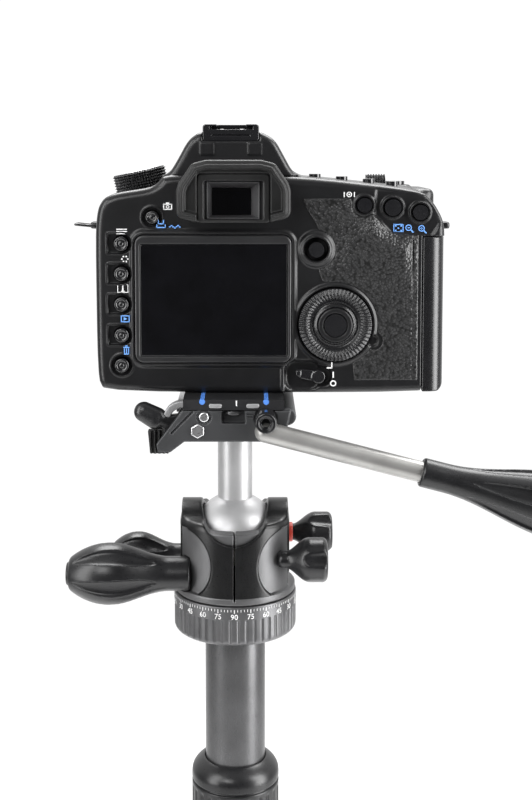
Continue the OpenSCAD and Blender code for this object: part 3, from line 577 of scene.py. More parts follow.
def grip_cover():
    """Leatherette wrapped round the hand grip."""
    f = Field((46, -1, 2), (RIGHT + 3, 42, 78), 0.6)
    wrap = polygon(f.x, f.y, inset(GRIP_OUTLINE, 4), 4)
    f.add(prism(np.abs(wrap - 0.2) - 0.5, f.z, 8, 74, 0.4))
    f.keep(FRONT + 3 - f.y)
    f.piece("grip_cover", AT_CAMERA, "camera", "cam_shell", leather)


def card_door():
    f = Field((DOOR_X - 2, BACK - 2, -1), (RIGHT + 3, 4, DOOR_TOP + 2), 0.4)
    plan = polygon(f.x, f.y, [(DOOR_X + 7, BACK + 7), (RIGHT - 7, BACK + 7), (RIGHT - 7, -8.6)], 7)
    plan = np.maximum(rect(f.x, f.y, DOOR_X, BACK, RIGHT, -3.1, 0.5), plan)
    outer = rect(f.x, f.y, DOOR_X - 12, BACK, RIGHT, 9, 7.5)
    inner = rect(f.x, f.y, DOOR_X - 20, BACK + 4, RIGHT - 3.6, 20, 3)
    wall = np.maximum(np.maximum(outer, -inner), np.maximum(DOOR_X - f.x, f.y + 3.1))
    f.add(prism(wall, f.z, 0.9, DOOR_TOP, 0.4))
    f.keep(-smooth_min(RIGHT + 0.2 - f.x, f.z - 0.6, 7.0) - 0.3)
    f.add(prism(disc(f.x, f.y, *DOOR_HINGE, 1.8), f.z, 10, 60, 0.3))
    f.add(prism(rect(f.x, f.y, 88.5, -3.4, 91.5, 0.2), f.z, 10, 60, 0.3))
    f.piece("card_cover", AT_CAMERA, "card_door", "cam_plastic", shell_smooth, "card_door")


def eye_cup():
    f = Field((-27, BACK - 21, 72), (28, BACK - 1, 106), 0.33)
    outline = [(x + EYE_X, z) for x, z in ((-20.6, 79.5), (20.6, 79.5), (20.6, 89.8), (14.6, 98.6),
                                           (-14.6, 98.6), (-20.6, 89.8))]
    outer = f.outline(cut_corners(outline, 1, 0.12), 3.6)
    lean = np.clip((f.y - BACK + 18) / 15, 0, 1)
    f.add(f.slab(outer + 1.4 * lean, -18, -3, 1.6))
    # Sunk face inside the rolled lip, its lower notch and the opening
    f.cut(f.slab(outer + 3.4, -30, -14.6, 0.9), 0.9)
    f.add(f.slab(np.abs(outer + 2.7) - 0.8, -19.0, -12, 0.75), 0.5)
    f.cut(f.slab(f.rect(EYE_X - 14.6, 70, EYE_X + 14.6, 79.5), -30, -14.6, 0.3), 0.3)
    f.cut(f.slab(f.rect(EYE_X - 15.5, 75.3, EYE_X + 15.5, 96.4, 1.6), -30, 1, 0.2), 0.3)
    f.piece("eye_cup", AT_CAMERA, "camera", "black_rubber", rubber, "eyecup")


def finder_sleeve():
    """Square tube inside the eyecup, and the grey funnel that narrows towards the finder glass."""
    f = Field((-16, BACK - 15, 74), (18, BACK - 9, 98), 0.33)
    f.add(f.slab(f.rect(EYE_X - 15.3, 75.6, EYE_X + 15.3, 96.2, 1.6), -14, -9.8, 0.4))
    f.cut(f.slab(f.rect(EYE_X - 12.6, 76.9, EYE_X + 12.6, 93.2, 1.0), -30, 0))
    f.piece("finder_sleeve", AT_CAMERA, "camera", "black_rubber", rubber)
    g = Field((-13, BACK - 9, 75), (14, BACK - 1, 96), 0.25)
    funnel = finder_funnel(g)
    g.add(np.maximum(np.abs(funnel + 0.45) - 0.35, np.abs(g.y - BACK + 5) - 3.2))
    g.piece("finder_funnel", AT_CAMERA, "camera", "cam_plastic", funnel_grey)


def control_dial():
    f = Field((-18, -5, -18), (18, 4, 18), 0.22)
    r = np.hypot(f.x, f.z)
    turn = np.arctan2(f.z, f.x)
    section = np.maximum(np.maximum(r - 15.9, 7.56 - r), f.y - 2.2)
    teeth = np.cos(turn * 56) * 0.3 * np.clip((r - 11.2) / 1.0, 0, 1)
    crown = -2.3 + 1.3 * np.exp(-((r - 9.6) / 1.6) ** 2) - 0.9 * np.exp(-((r - 13.4) / 1.9) ** 2) - teeth
    f.add(-smooth_min(-section, -(crown - f.y) * 0.85, 0.5))
    place = Matrix.Translation(CAMERA + Vector((DIAL[0], BACK, DIAL[1])) * MM)
    f.piece("control_dial", place, "quick_dial", "button_plastic", shell_smooth, "quick_dial")


def knurled_dial(name, place, r, height, teeth, body, slot, stands_for, cap):
    """Short drum along its own Z with knurled sides and a dished top."""
    f = Field((-r - 1, -r - 1, -1), (r + 1, r + 1, height + 1.5), 0.2)
    turn = np.arctan2(f.y, f.x)
    side = np.hypot(f.x, f.y) - r + 0.28 + 0.28 * np.cos(turn * teeth)
    f.add(prism(side * 0.9, f.z, 0, height, 0.5))
    f.cut((np.cos(f.z * 2 * math.pi / 1.25) - 0.55) * 0.2 + 0 * r + np.maximum(-side - 0.35, 0), 0.1)
    f.cut(prism(np.hypot(f.x, f.y) - cap, f.z, height - 0.25, height + 3, 0.2))
    f.piece(name, place, body, slot, shell_smooth, *stands_for)


def mode_cap(place):
    """Bright domed cover of the mode dial with a dark centre."""
    f = Field((-11, -11, 5), (11, 11, 11), 0.25)
    r = r_of(f)
    f.add(np.maximum(r - 10.6, np.maximum(f.z - 10.4 + 2.6 * (r / 10.6) ** 2, 6.4 - f.z)) * 0.8, 0.3)
    f.cut(prism(r - 4.2, f.z, 9.4, 20, 0.2), 0.3)
    f.piece("mode_cap", place, "mode_dial", "bright_steel", bright)


def accessory_shoe():
    f = Field((-14, BACK + 1, HUMP - 6), (14, 2, HUMP + 4), 0.25)
    f.add(f.slab(f.rect(-12.4, HUMP - 4.4, 12.0, HUMP + 2.9, 1.4), 3.2, 6.6, 0.5))
    f.add(prism(rect(f.x, f.y, -10.5, BACK + 5, 10.5, -2, 0.5), f.z, HUMP - 0.6, HUMP + 2.8, 0.3))
    f.cut(prism(f.rect(-9.4, HUMP + 0.6, 9.4, HUMP + 2.1), f.y, BACK - 2, -4))
    f.cut(prism(f.rect(-6.4, HUMP + 1, 6.4, HUMP + 9), f.y, BACK - 2, -4))
    f.cut(f.slab(f.rect(-8.6, HUMP - 2.2, 8.2, HUMP - 1.7, 0.2), -2, 3.8, 0.1), 0.2)
    for x in (-8.2, -4.4, 4.4, 8.2):
        f.add(prism(disc(f.x, f.y, x, -12, 1.0), f.z, HUMP, HUMP + 0.9, 0.2))
    f.piece("accessory_shoe", AT_CAMERA, "camera", "shoe_steel", gloss, "hot_shoe")


def switch_lever():
    f = Field((24, BACK - 3, 2), (44, BACK + 3, 15), 0.25)
    x, z = SWITCH
    f.add(f.slab(np.hypot(f.x - x, f.z - z) - 2.9, -1.7, 1.3, 0.5))
    arm = f.outline([(x, z + 2.2), (x, z - 2.2), (x - 8.6, z - 0.2), (x - 8.6, z + 3)], 0.4)
    f.add(f.slab(arm, -1.2, 1.2, 0.6), 0.8)
    f.add(f.slab(f.rect(x - 9.8, z + 0.2, x - 7.6, z + 3.0, 0.8), -1.9, 1, 0.5), 0.4)
    f.piece("switch_lever", AT_CAMERA, "power_lever", "button_plastic", gloss, "power_lever")


def button_cap(name, x, z, r, body, replaced):
    """Domed push button with a raised rim and a small dished centre."""
    f = Field((x - r - 1, BACK - 4, z - r - 1), (x + r + 1, BACK + 4, z + r + 1), 0.2)
    d = np.hypot(f.x - x, f.z - z)
    f.add(f.slab(d - r, -BUTTON_OUT, 3.2, 0.6))
    f.cut(f.slab(d - r + 1.0, -9, 0.4 - BUTTON_OUT, 0.4), 0.4)
    f.add(f.slab(d - 0.9, 0.05 - BUTTON_OUT, 0, 0.3), 0.3)
    f.piece(name, AT_CAMERA, body, "button_plastic", gloss, replaced)


def strap_lug(name, x, turn):
    """Wire ring through the strap lug at a shoulder."""
    f = Field((-6, -5, -2), (6, 5, 2), 0.2)
    wire = polygon(f.x, f.y, [(-4, -3.4), (4, -3.0), (4, 3.0), (-4, 3.4)], 0.6)
    f.add(np.hypot(wire, f.z) - 0.6)
    place = Matrix.Translation(CAMERA + Vector((x, -16, 72.5)) * MM) @ Matrix.Rotation(turn, 4, "Y")
    f.piece(name, place, "camera", "bright_steel", gloss)


# ---------- printed symbols ----------

def outline_mesh(bm, points, thick):
    ring = [bm.verts.new((x * MM, 0, z * MM)) for x, z in points]
    back = bmesh.ops.extrude_face_region(bm, geom=[bm.faces.new(ring)])
    for v in [g for g in back["geom"] if isinstance(g, bmesh.types.BMVert)]:
        v.co.y += thick * MM


def bar(x, z, w, h):
    return [(x - w / 2, z - h / 2), (x + w / 2, z - h / 2), (x + w / 2, z + h / 2), (x - w / 2, z + h / 2)]


def hoop(x, z, r, w, steps=16):
    """A ring as short trapezoids, so that every outline is convex."""
    out = []
    for k in range(steps):
        a, b = 2 * math.pi * k / steps, 2 * math.pi * (k + 1) / steps
        out.append([(x + (r + s * w / 2) * math.cos(t), z + (r + s * w / 2) * math.sin(t))
                    for s, t in ((1, a), (1, b), (-1, b), (-1, a))])
    return out


def frame_bars(x, z, w, h, t):
    """Outline of a box, w by h, drawn with four bars of thickness t."""
    level = [bar(x, z + s * h / 2, w, t) for s in (1, -1)]
    return level + [bar(x + s * w / 2, z, t, h + t) for s in (-1, 1)]


def symbol(name, outlines, ink, y=BACK - 0.1, place=AT_CAMERA):
    """Printed symbol made of closed outlines, a tenth of a millimetre thick, on the face at y."""
    bm = bmesh.new()
    for points in outlines:
        outline_mesh(bm, points, 0.14)
    bmesh.ops.recalc_face_normals(bm, faces=bm.faces)
    bm.transform(place @ Matrix.Translation((0, y * MM, 0)))
    piece(solid(name, bm), "camera", "bright_steel", ink)


def symbols():
    """Plain generic symbols beside the controls; none of them is lettering."""
    x = BUTTON_X
    symbol("mark_list", [bar(x + 0.3, 71.9 - k * 0.95, 4.6, 0.42) for k in range(3)], white_ink)
    symbol("mark_style", [bar(*spot, 0.62, 0.62) for spot in hexagon(x + 1.6, 59.0, 1.25)], white_ink)
    sign = [bar(x + 0.6, 45.9, 0.6, 1.7), bar(x + 0.6, 47.3, 0.6, 0.6), bar(x + 0.6, 45.0, 1.5, 0.4)]
    symbol("mark_info", sign + frame_bars(x + 0.6, 46.2, 4.4, 3.4, 0.3), white_ink)
    arrow = [(-46.7, 32.2), (-45.1, 33.0), (-46.7, 33.8)]
    symbol("mark_play", frame_bars(-46.0, 33.0, 3.4, 2.6, 0.4) + [arrow], blue_ink, BACK - 0.6)
    lid = [bar(-45.6, 20.5, 2.6, 0.45), bar(-45.6, 21.1, 1.0, 0.4)]
    bin_sides = [bar(-45.6 + d, 18.9, 0.35, 2.4) for d in (-0.9, 0, 0.9)] + [bar(-45.6, 17.6, 2.1, 0.4)]
    symbol("mark_bin", lid + bin_sides, blue_ink, BACK - 0.6)
    box = frame_bars(-27.4, 81.6, 3.4, 2.2, 0.45) + [bar(-27.4, 83.2, 1.4, 0.6)]
    symbol("mark_camera", box + hoop(-27.4, 81.6, 0.6, 0.35, 10), white_ink)
    wave = [bar(-26.4 + k * 0.7, 73.0 + 0.5 * math.sin(k * 1.6), 0.8, 0.45) for k in range(7)]
    printer = [bar(-30.2 + x, 72.7 + z, w, h) for x, z, w, h in (
        (0, 0, 4.0, 0.5), (0, 1.6, 2.4, 0.45), (-1.2, 2.4, 0.45, 1.8), (1.0, 2.4, 0.45, 1.8),
        (-1.9, 0.6, 0.45, 1.4), (1.8, 0.6, 0.45, 1.4))]
    symbol("mark_print", printer + wave, blue_ink, BACK - 0.6)
    low = BACK + 0.95
    grid = [bar(71.0 + i * 1.2, 71.3 + j * 1.0, 0.75, 0.62) for i in range(3) for j in range(3)
            if (i + j) % 2 == 0]
    symbol("mark_grid", frame_bars(72.2, 72.3, 4.0, 3.2, 0.4) + grid, blue_ink, low)
    for name, x, z, signs in (("mark_smaller", 76.6, 72.5, [(1.1, 0.35)]),
                              ("mark_larger", 82.2, 72.2, [(1.1, 0.35), (0.35, 1.1)])):
        handle = [(x + 0.7, z - 1.1), (x + 1.1, z - 0.7), (x + 2.3, z - 1.9), (x + 1.9, z - 2.3)]
        symbol(name, hoop(x, z, 1.2, 0.4) + [bar(x, z, w, h) for w, h in signs] + [handle], blue_ink, low)
    symbol("mark_lock", [bar(43.6, 12.8, 0.5, 2.6), bar(42.6, 11.6, 2.4, 0.5)], white_ink, BACK - 1.15)
    symbol("mark_on", [bar(44.3, 8.4, 0.6, 2.6)], white_ink, BACK - 0.15)
    symbol("mark_off", hoop(44.3, 4.6, 1.1, 0.5), white_ink, BACK - 0.15)
    brackets = [bar(50.8 + d, 86.9, 0.4, 2.2) for d in (-2.2, 2.2)]
    symbol("mark_focus", hoop(50.8, 86.9, 1.0, 0.35) + [bar(50.8, 86.9, 0.6, 0.6)] + brackets, white_ink,
           BACK - 0.12)
    symbol("mark_plate", [bar(1.3, -1.6, 0.55, 2.3)], white_ink, -48.12, AT_CLAMP)


# ---------- head and handles ----------

def handle_field(length, neck, wide, flutes, step=0.33, turn=0.0, tip=0.42, root=0.0):
    """Grip along +X: a neck that swells into a spindle with crisp leaf-shaped flutes."""
    f = Field((-2 - root, -wide - 1, -wide - 1), (length + 1, wide + 1, wide + 1), step)
    t = np.clip(f.x / length, 0, 1)
    rise = np.sin(np.pi / 2 * np.clip((t - 0.1) / 0.5, 0, 1)) ** 2
    fall = np.clip((t - 0.6) / 0.4, 0, 1) ** 2.1
    radius = neck + (wide - neck) * rise - (wide - wide * tip) * fall
    r = np.hypot(f.y, f.z)
    leaf = np.abs(np.sin(np.pi * np.clip((t - 0.2) / 0.74, 0, 1))) ** 0.7
    span = 2 * np.pi / flutes
    local = (np.arctan2(f.z, f.y) + turn + span / 2) % span - span / 2
    across = r * np.sin(local)
    half = wide * 0.27 * leaf + 0.01
    dent = wide * 0.16 * leaf * np.sqrt(np.clip(1 - (across / half) ** 2, 0, 1))
    f.add(prism((r - radius + dent) * 0.8, f.x, -root, length - 1.0, 1.2))
    f.add(prism(r - wide * tip * 0.86, f.x, length - 6, length, 0.7), 0.3)
    return f


def side_handle(name, body, length, neck, wide):
    """Fluted grip that points away from the head's left face."""
    f = handle_field(length, neck, wide, 6, turn=0.2, root=4.8)
    at = joint_at[f"{body}_turn"] + Vector((HANDLE_FACE * MM, 0, 0))
    place = Matrix.Translation(at) @ Matrix.Rotation(math.pi, 4, "Z")
    f.piece(name, place, body, "black_rubber", grip_rubber, body)


def lobed_knob(name, body, length, r, out, turn):
    """Three-lobed knob along +X on a flared neck."""
    f = Field((-3, -r - 1.5, -r - 1.5), (length + 1, r + 1.5, r + 1.5), 0.25)
    t = np.clip(f.x / length, 0, 1)
    radial = np.hypot(f.y, f.z)
    flare = 3.9 + (r - 3.9) * np.sin(np.pi / 2 * np.clip((t - 0.12) / 0.5, 0, 1)) ** 1.6
    f.add(prism((radial - flare) * 0.8, f.x, -2, length, 2.4))
    for k in range(3):
        a = (2 * k + 1) * math.pi / 3 - turn
        reach = r + 1.8
        y, z = math.cos(a), math.sin(a)
        f.cut(segment(f.x, f.y, f.z, (length * 0.36, (reach + 2) * y, (reach + 2) * z),
                      (length + 9, reach * y, reach * z), 4.4, 5.0), 0.7)
    f.cut(prism(radial - 2.6, f.x, length - 0.8, length + 3, 0.2), 0.2)
    at = joint_at[f"{body}_turn"] + Vector((out * MM, 0, 0))
    f.piece(name, Matrix.Translation(at), body, "black_rubber", grip_rubber, body)


def red_collar():
    at = joint_at["rear_knob_turn"]
    f = Field((23, -6, -6), (29, 6, 6), 0.2)
    r = np.hypot(f.y, f.z)
    f.add(prism(r - 4.6, f.x, 24.0, 27.2, 0.4))
    f.piece("red_collar", Matrix.Translation(Vector((0, at.y, at.z))), "rear_knob", "black_rubber", red)


def cut_seats(f):
    """Round seats of the two handles and the two knobs in the sides of the head."""
    for name, r, side in SEATS:
        at = (joint_at[name] - HEAD) / MM
        f.cut(prism(disc(f.y, f.z, at.y, at.z, r), f.x * side, SEAT_FLOOR, 40, 0.2), 0.4)


def head_housing():
    """Black saddle with its ears and scoops, and the grey drum that shows through them."""
    lo_z = (RING_TOP - BALL.z) / MM + 0.3
    rim, top = 10.9, 16.7
    f = Field((-30, -30, lo_z - 1), (30, 30, top + 2), 0.35)
    r = np.hypot(f.x, f.y)
    wall = np.maximum(r - SADDLE_R, np.abs(f.x) - SADDLE_HALF)
    f.add(-smooth_min(-wall, -(f.z - rim), 3.0))
    f.keep(lo_z - f.z)
    ear = np.maximum(np.hypot(f.y, f.z) - top, np.abs(f.x) - SADDLE_HALF)
    f.add(-smooth_min(-ear, SADDLE_R - r, 2.5), 2.5)
    ball = np.sqrt(f.x ** 2 + f.y ** 2 + f.z ** 2) - BALL_R
    # Arched scoops beside the front and rear faces leave an hourglass between them
    for sx in (-1, 1):
        for sy in (-1, 1):
            level = np.clip((f.z + 8.5) / 15.5, -1, 1)
            edge = 10.8 + 12.5 * (1 - np.sqrt(1 - level ** 2 * 0.98))
            scoop = np.maximum(edge - f.x * sx, 8 - f.y * sy)
            scoop = np.maximum(scoop, np.maximum(f.z - 7.6, lo_z - 1 - f.z))
            f.cut(np.maximum(scoop, 24.4 - r), 0.9)
    # Mouth between the ears, slit and handle seats
    f.cut(np.maximum(np.hypot(f.x, np.minimum(f.z - 17.5, 0)) - 15.2, -f.z + 2), 1.0)
    f.cut(ball, 0.4)
    f.cut(np.maximum(np.abs(f.x) - 0.4, np.maximum(f.y + 19, lo_z + 2 - f.z)), 0.3)
    f.cut(np.maximum(np.hypot(f.x, f.z - 3.4) - 1.5, f.y + 15), 0.4)
    cut_seats(f)
    f.cut(prism(r - SCREW_WELL, f.z, lo_z - 3, lo_z + 2.6))
    f.piece("head_housing", AT_HEAD, "head", "black_alloy", saddle_black, "housing")
    g = Field((-30, -30, lo_z - 1), (30, 30, 8), 0.35)
    g.add(prism(np.maximum(r_of(g) - 26.0, np.abs(g.x) - SADDLE_HALF + 0.3), g.z, lo_z, 7, 0.6))
    g.add(prism(r_of(g) - 27.9, g.z, lo_z, lo_z + 3.4, 0.7), 1.0)
    g.cut(np.sqrt(g.x ** 2 + g.y ** 2 + g.z ** 2) - 20.6)
    g.cut(np.maximum(np.abs(g.x) - 0.4, np.maximum(g.y + 19, lo_z + 2 - g.z)))
    g.cut(prism(r_of(g) - SCREW_WELL, g.z, lo_z - 3, lo_z + 2.6))
    cut_seats(g)
    g.piece("head_drum", AT_HEAD, "head", "grey_alloy", drum_grey)


def pan_scale():
    """Pan ring: narrow ribs below a smooth band that carries the degree scale."""
    height = (RING_HI.z - RING_LO.z) / MM - 0.4
    radius = (RING_HI.x - RING_LO.x) / 2 / MM
    f = Field((-radius - 1, -radius - 1, -1), (radius + 1, radius + 1, height + 4), 0.3)
    r = np.hypot(f.x, f.y)
    f.add(prism(r - radius, f.z, 0, height, 0.5))
    under = np.clip((3 - f.z) / 3, 0, 1)
    f.keep(r - radius + 1.6 * under ** 2.2, 0.6)
    turn = np.arctan2(f.y, f.x)
    wave = np.cos(turn * 48)
    rib = (r - radius + 0.75 * np.clip(-wave - 0.15, 0, 1)) * 0.7
    f.keep(np.where(f.z < height * 0.66, rib, -5.0))
    f.add(prism(r - 9, f.z, height - 1, height + 2.5))
    place = Matrix.Translation((0, 0, RING_LO.z - 2.1 * MM))
    f.piece("scale_ring", place, "column", "grey_alloy", ring_alloy, "pan_ring")


def number_mesh(text, size):
    """Digits as a mesh in X and Z, centred, size millimetres high."""
    curve = bpy.data.curves.new("digits", "FONT")
    curve.body = text
    curve.size = size * MM * 1.35
    curve.align_x = "CENTER"
    curve.extrude = 0.00005
    curve.resolution_u = 3
    holder = linked("digits", curve)
    bpy.context.view_layer.update()
    data = bpy.data.meshes.new_from_object(holder.evaluated_get(bpy.context.evaluated_depsgraph_get()))
    bpy.data.objects.remove(holder)
    data.transform(Matrix.Rotation(math.pi / 2, 4, "X"))
    return data


def degree_scale():
    """Degree ticks and numbers wrapped round the top band of the pan ring."""
    radius = (RING_HI.x - RING_LO.x) / 2 + 0.00003
    top = RING_TOP - 0.0009
    bm = bmesh.new()
    for deg in range(0, 360, 3):
        long = deg % 15 == 0
        h = (1.7 if long else 1.1) * MM
        w = (0.34 if long else 0.2) * MM
        part = bmesh.ops.create_cube(bm, size=1)["verts"]
        spot = Matrix.Rotation(math.radians(deg - 90), 4, "Z") @ Matrix.Translation((radius, 0, top - h / 2))
        bmesh.ops.transform(bm, matrix=spot @ Matrix.Diagonal((0.00012, w, h, 1)), verts=part)
    piece(solid("degree_ticks", bm), "column", "bright_steel", white_ink)
    for k in range(24):
        deg = k * 15
        value = 90 - abs((deg + 90) % 180 - 90)
        data = number_mesh(str(value), 2.5)
        data.transform(Matrix.Translation((0, 0, top - 4.5 * MM)))
        for v in data.vertices:
            a = v.co.x / radius + math.radians(deg - 90)
            out = radius - v.co.y
            v.co = (out * math.cos(a), out * math.sin(a), v.co.z)
        piece(linked(f"degree_{k + 1}", data), "column", "bright_steel", white_ink)


def pan_place():
    """Frame of the pan handle's rod: X along the rod, which runs just under its pivot."""
    drop = Matrix.Rotation(math.radians(14.6), 4, "Y")
    return Matrix.Translation(joint_at["pan_handle_swing"]) @ drop @ Matrix.Translation((0, 0, -4.6 * MM))


def pan_shaft():
    f = Field((-6, -6, -6), (76, 6, 6), 0.3)
    f.add(segment(f.x, f.y, f.z, (1.0, 0, 0), (72, 0, 0), 4.5, 4.5))
    f.piece("pan_shaft", pan_place(), "pan_handle", "silver_alloy", rod_steel, "pan_rod")
    g = Field((-7, -7, -7), (7, 8, 7), 0.25)
    r = np.hypot(g.x, g.z)
    g.add(prism(r - 4.6, g.y, -4.6, 6.0, 0.8))
    g.add(prism(np.abs(r - 3.6) - 0.75, g.y, -5.6, 0, 0.5), 0.3)
    g.cut(prism(g.outline(hexagon(0, 0, 2.1)), g.y, -9, -1.5))
    pivot = Matrix.Translation(joint_at["pan_handle_swing"])
    g.piece("pan_screw", pivot, "pan_handle", "black_alloy", gloss)


def pan_grip():
    f = handle_field(103, 6.2, 14.2, 6, 0.4, turn=0.35, tip=0.6)
    f.cut(prism(np.hypot(f.y, f.z) - 4.6, f.x, -9, 6))
    place = pan_place() @ Matrix.Translation((69 * MM, 0, 0))
    f.piece("handle_grip", place, "pan_handle", "black_rubber", grip_rubber, "pan_grip")


def column_collar():
    lo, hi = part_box("collar")
    height = (hi.z - lo.z) / MM
    radius = (hi.x - lo.x) / 2 / MM
    f = Field((-radius - 1, -radius - 1, -1), (radius + 1, radius + 1, height + 1), 0.35)
    r = np.hypot(f.x, f.y)
    drop = np.clip((f.z - height + 8.5) / 8.5, 0, 1)
    side = radius - 6.0 * drop ** 2.6
    ribs = 0.7 * np.clip(np.cos(np.arctan2(f.y, f.x) * 26) - 0.1, 0, 1)
    ribs = ribs * np.clip((height - 13 - f.z) / 1.5, 0, 1)
    f.add(prism((r - side + ribs) * 0.85, f.z, 0, height, 0.8))
    f.cut(prism(np.abs(f.z - height + 11) - 0.5 + 0 * r, r, radius - 0.9, radius + 3), 0.3)
    f.cut(prism(r - 14.25, f.z, -9, height + 9))
    place = Matrix.Translation((0, 0, lo.z))
    f.piece("column_collar", place, "collar", "lock_rubber", grip_rubber, "collar")


# ---------- clamp ----------

def clamp_block():
    f = Field((-36, -50, -25), (30, 19, -3), 0.32)
    rear = [(-21, -18), (16.5, -18), (19, -15.2), (22.5, -12.5), (24, -5.2), (-19.5, -5.2), (-22, -8)]
    f.add(prism(f.outline(rear, 0.4), f.y, -48, -35, 0.6))
    f.add(prism(f.disc(23, -7.6, 3.9), f.y, -47, 17, 0.8), 0.3)
    front = [(-21.6, -18.1), (21.6, -18.1), (24, -12), (24, -5.2), (19.4, -5.2), (15.6, -8.3), (-21.6, -8.3)]
    f.add(prism(f.outline(front, 0.4), f.y, -36, 17, 0.6))
    tail = [(-18, -5.2), (-21.6, -5.2), (-32.6, -19.6), (-32, -22.6), (-27.2, -22.6), (-18, -15.6)]
    for y0, y1 in ((-48, -44), (-39, -35)):
        f.add(prism(f.outline(tail, 0.4), f.y, y0, y1, 0.5))
    # Bore of the stem, lever pocket and axle, window, engraved lines and the slanted slit
    f.cut(prism(np.hypot(f.x, f.y) - 5.1, f.z, -30, -11))
    f.cut(prism(f.disc(*LEVER_AXLE, 6.2), f.y, -44, -39))
    f.cut(prism(f.rect(-5.1, -10.4, 5.2, -5.0, 0.6), f.y, -50, -44.5, 0.2), 0.3)
    for z in (-6.3, -7.5):
        f.cut(prism(f.rect(5.9, z - 0.22, 9.0, z + 0.22, 0.1), f.y, -50, -47.4))
    slit = segment(f.x, 0 * f.y, f.z, (-17.6, 0, -5.4), (-26.5, 0, -14.6), 0.5, 0.4)
    f.cut(np.maximum(slit, f.y + 47.0), 0.2)
    f.cut(prism(f.disc(-12.6, -7.6, 3.2), f.y, -50, -47.2, 0.3), 0.3)
    f.cut(prism(f.disc(13.8, -7.9, 4.8), f.y, -50, -47.0, 0.2), 0.2)
    f.piece("clamp_block", AT_CLAMP, "camera", "black_alloy", clamp_alloy, "clamp_body")


def clamp_fittings():
    """Stop pin, hex nut, plate screw, slot inserts, ribbed latch pad and the lever's steel band."""
    f = Field((-16, -50, -12), (-9, -44, -4), 0.2)
    f.add(prism(f.disc(-12.6, -7.6, 2.1), f.y, -48.6, -45, 0.5))
    f.piece("stop_pin", AT_CLAMP, "camera", "bright_steel", bright)
    g = Field((-20, -50, -18), (-11, -45, -9), 0.2)
    nut = hexagon(-15.3, -13.6, 3.2, 0.52)
    g.add(prism(g.outline(nut), g.y, -48.9, -46, 0.5))
    g.piece("hex_nut", AT_CLAMP, "camera", "bright_steel", bright)
    h = Field((-7, -47.9, -9), (7, -38, -4.6), 0.25)
    h.add(prism(np.hypot(h.x, h.y + 41.5) - 5.0, h.z, -7.3, -5.3, 0.5))
    h.piece("plate_screw", AT_CLAMP, "camera", "grey_alloy", ring_alloy)
    for k, x in enumerate((-7.7, 8.3)):
        s = Field((x - 4, -50, -5), (x + 4, -45, -1), 0.2)
        s.add(prism(s.rect(x - 2.8, -3.7, x + 2.8, -1.8, 0.9), s.y, -48.25, -46, 0.3))
        s.piece(f"slot_insert_{k + 1}", AT_CLAMP, "camera", "grey_alloy", slot_grey)
    p = Field((-39, -45, -27), (-26, -38, -13), 0.22)
    pad = p.outline([(-36.4, -15), (-28.5, -15), (-28.5, -24), (-35.5, -24)], 0.6)
    p.add(prism(pad, p.y, -43.8, -39.2, 0.5))
    p.cut(np.cos((p.x + 32) * 2 * math.pi / 1.9) * 0.5 + 0.2 + np.maximum(p.y + 43.0, -9), 0.2)
    p.piece("latch_pad", AT_CLAMP, "camera", "black_rubber", rubber)
    b = Field((-34, -46, -20), (-12, -38, 2), 0.25)
    ring = np.abs(np.hypot(b.x + 21.8, b.z + 10.2) - 7.2) - 1.5
    b.add(prism(ring, b.y, -43.8, -39.2, 0.5))
    b.keep(np.maximum((b.x + 22.5) * 0.94 + (b.z + 10) * -0.34, (-b.z - 9.6)), 0.3)
    b.piece("lever_band", AT_CLAMP, "camera", "grey_alloy", slot_grey)


def quick_lever():
    f = Field((-48, -46, -22), (-17, -36, 4), 0.28)
    f.add(prism(f.disc(*LEVER_AXLE, 5.4), f.y, -43.7, -39.3, 0.6))
    f.add(segment(f.x, f.y, f.z, (-27, LEVER_Y, -11.5), (-33.5, LEVER_Y, -9.2), 3.0, 3.4), 1.5)
    thumb = segment(f.x, (f.y - LEVER_Y) * 1.25, f.z, (-33.5, 0, -9.4), (-38.6, 0, -6.6), 4.9, 4.4)
    f.add(thumb, 1.2)
    f.cut(segment(f.x, f.y, f.z, (-31.2, -47.5, -4.4), (-35.6, -47.5, -13.4), 2.6, 2.4), 1.0)
    f.add(np.maximum(f.disc(*LEVER_AXLE, 2.0), np.abs(f.y - LEVER_Y) - 6))
    f.piece("quick_lever", AT_CLAMP, "clamp_lever", "black_rubber", grip_rubber,
                 "clamp_lever")


# ---------- CAD nodes that keep their shape ----------

def bevel(node, width, segments):
    mod = nodes[node].modifiers.new("edges", "BEVEL")
    mod.width = width * MM
    mod.segments = segments
    mod.limit_method = "ANGLE"
    mod.angle_limit = math.radians(35)
    mod.harden_normals = False


def dress_nodes():
    legs = (1, 2, 3)
    tubes = [f"leg_tube_{i}" for i in legs] + ["column"]
    caps = [f"right_button_{i}" for i in legs] + ["set_button", "shutter_button", "top_buttons", "joystick"]
    for look, width, names in (
            (tube_alloy, 0.4, tubes), (tube_alloy, 0.3, [f"leg_inner_{i}" for i in legs]),
            (rubber, 0.3, [f"leg_lock_{i}" for i in legs] + ["focus_ring"]), (black_alloy, 0.8, ["spider"]),
            (black_alloy, 0.4, ["plate"]), (bright, 0.3, ["clamp_jaw"]), (bright, 0.2, ["lens_mount"]),
            (blue, 0, ["plate_cords"]), (silver, 0.3, ["ball_stem"]), (nylon, 0, ["brake_cup"]),
            (mirror_glass, 0, ["mirror"]), (finder_glass, 0.2, ["viewfinder_glass"]),
            (optic, 0.2, ["lens_glass"]), (board, 0.2, ["sensor"]),
            (shell_smooth, 0.4, ["battery", "battery_door", "lens_barrel"]), (gloss, 0.7, caps)):
        for name in names:
            data = nodes[name].data
            data.materials.clear()
            data.materials.append(look)
            if width:
                bevel(name, width, 4 if look is gloss else 3)


# ---------- stage ----------

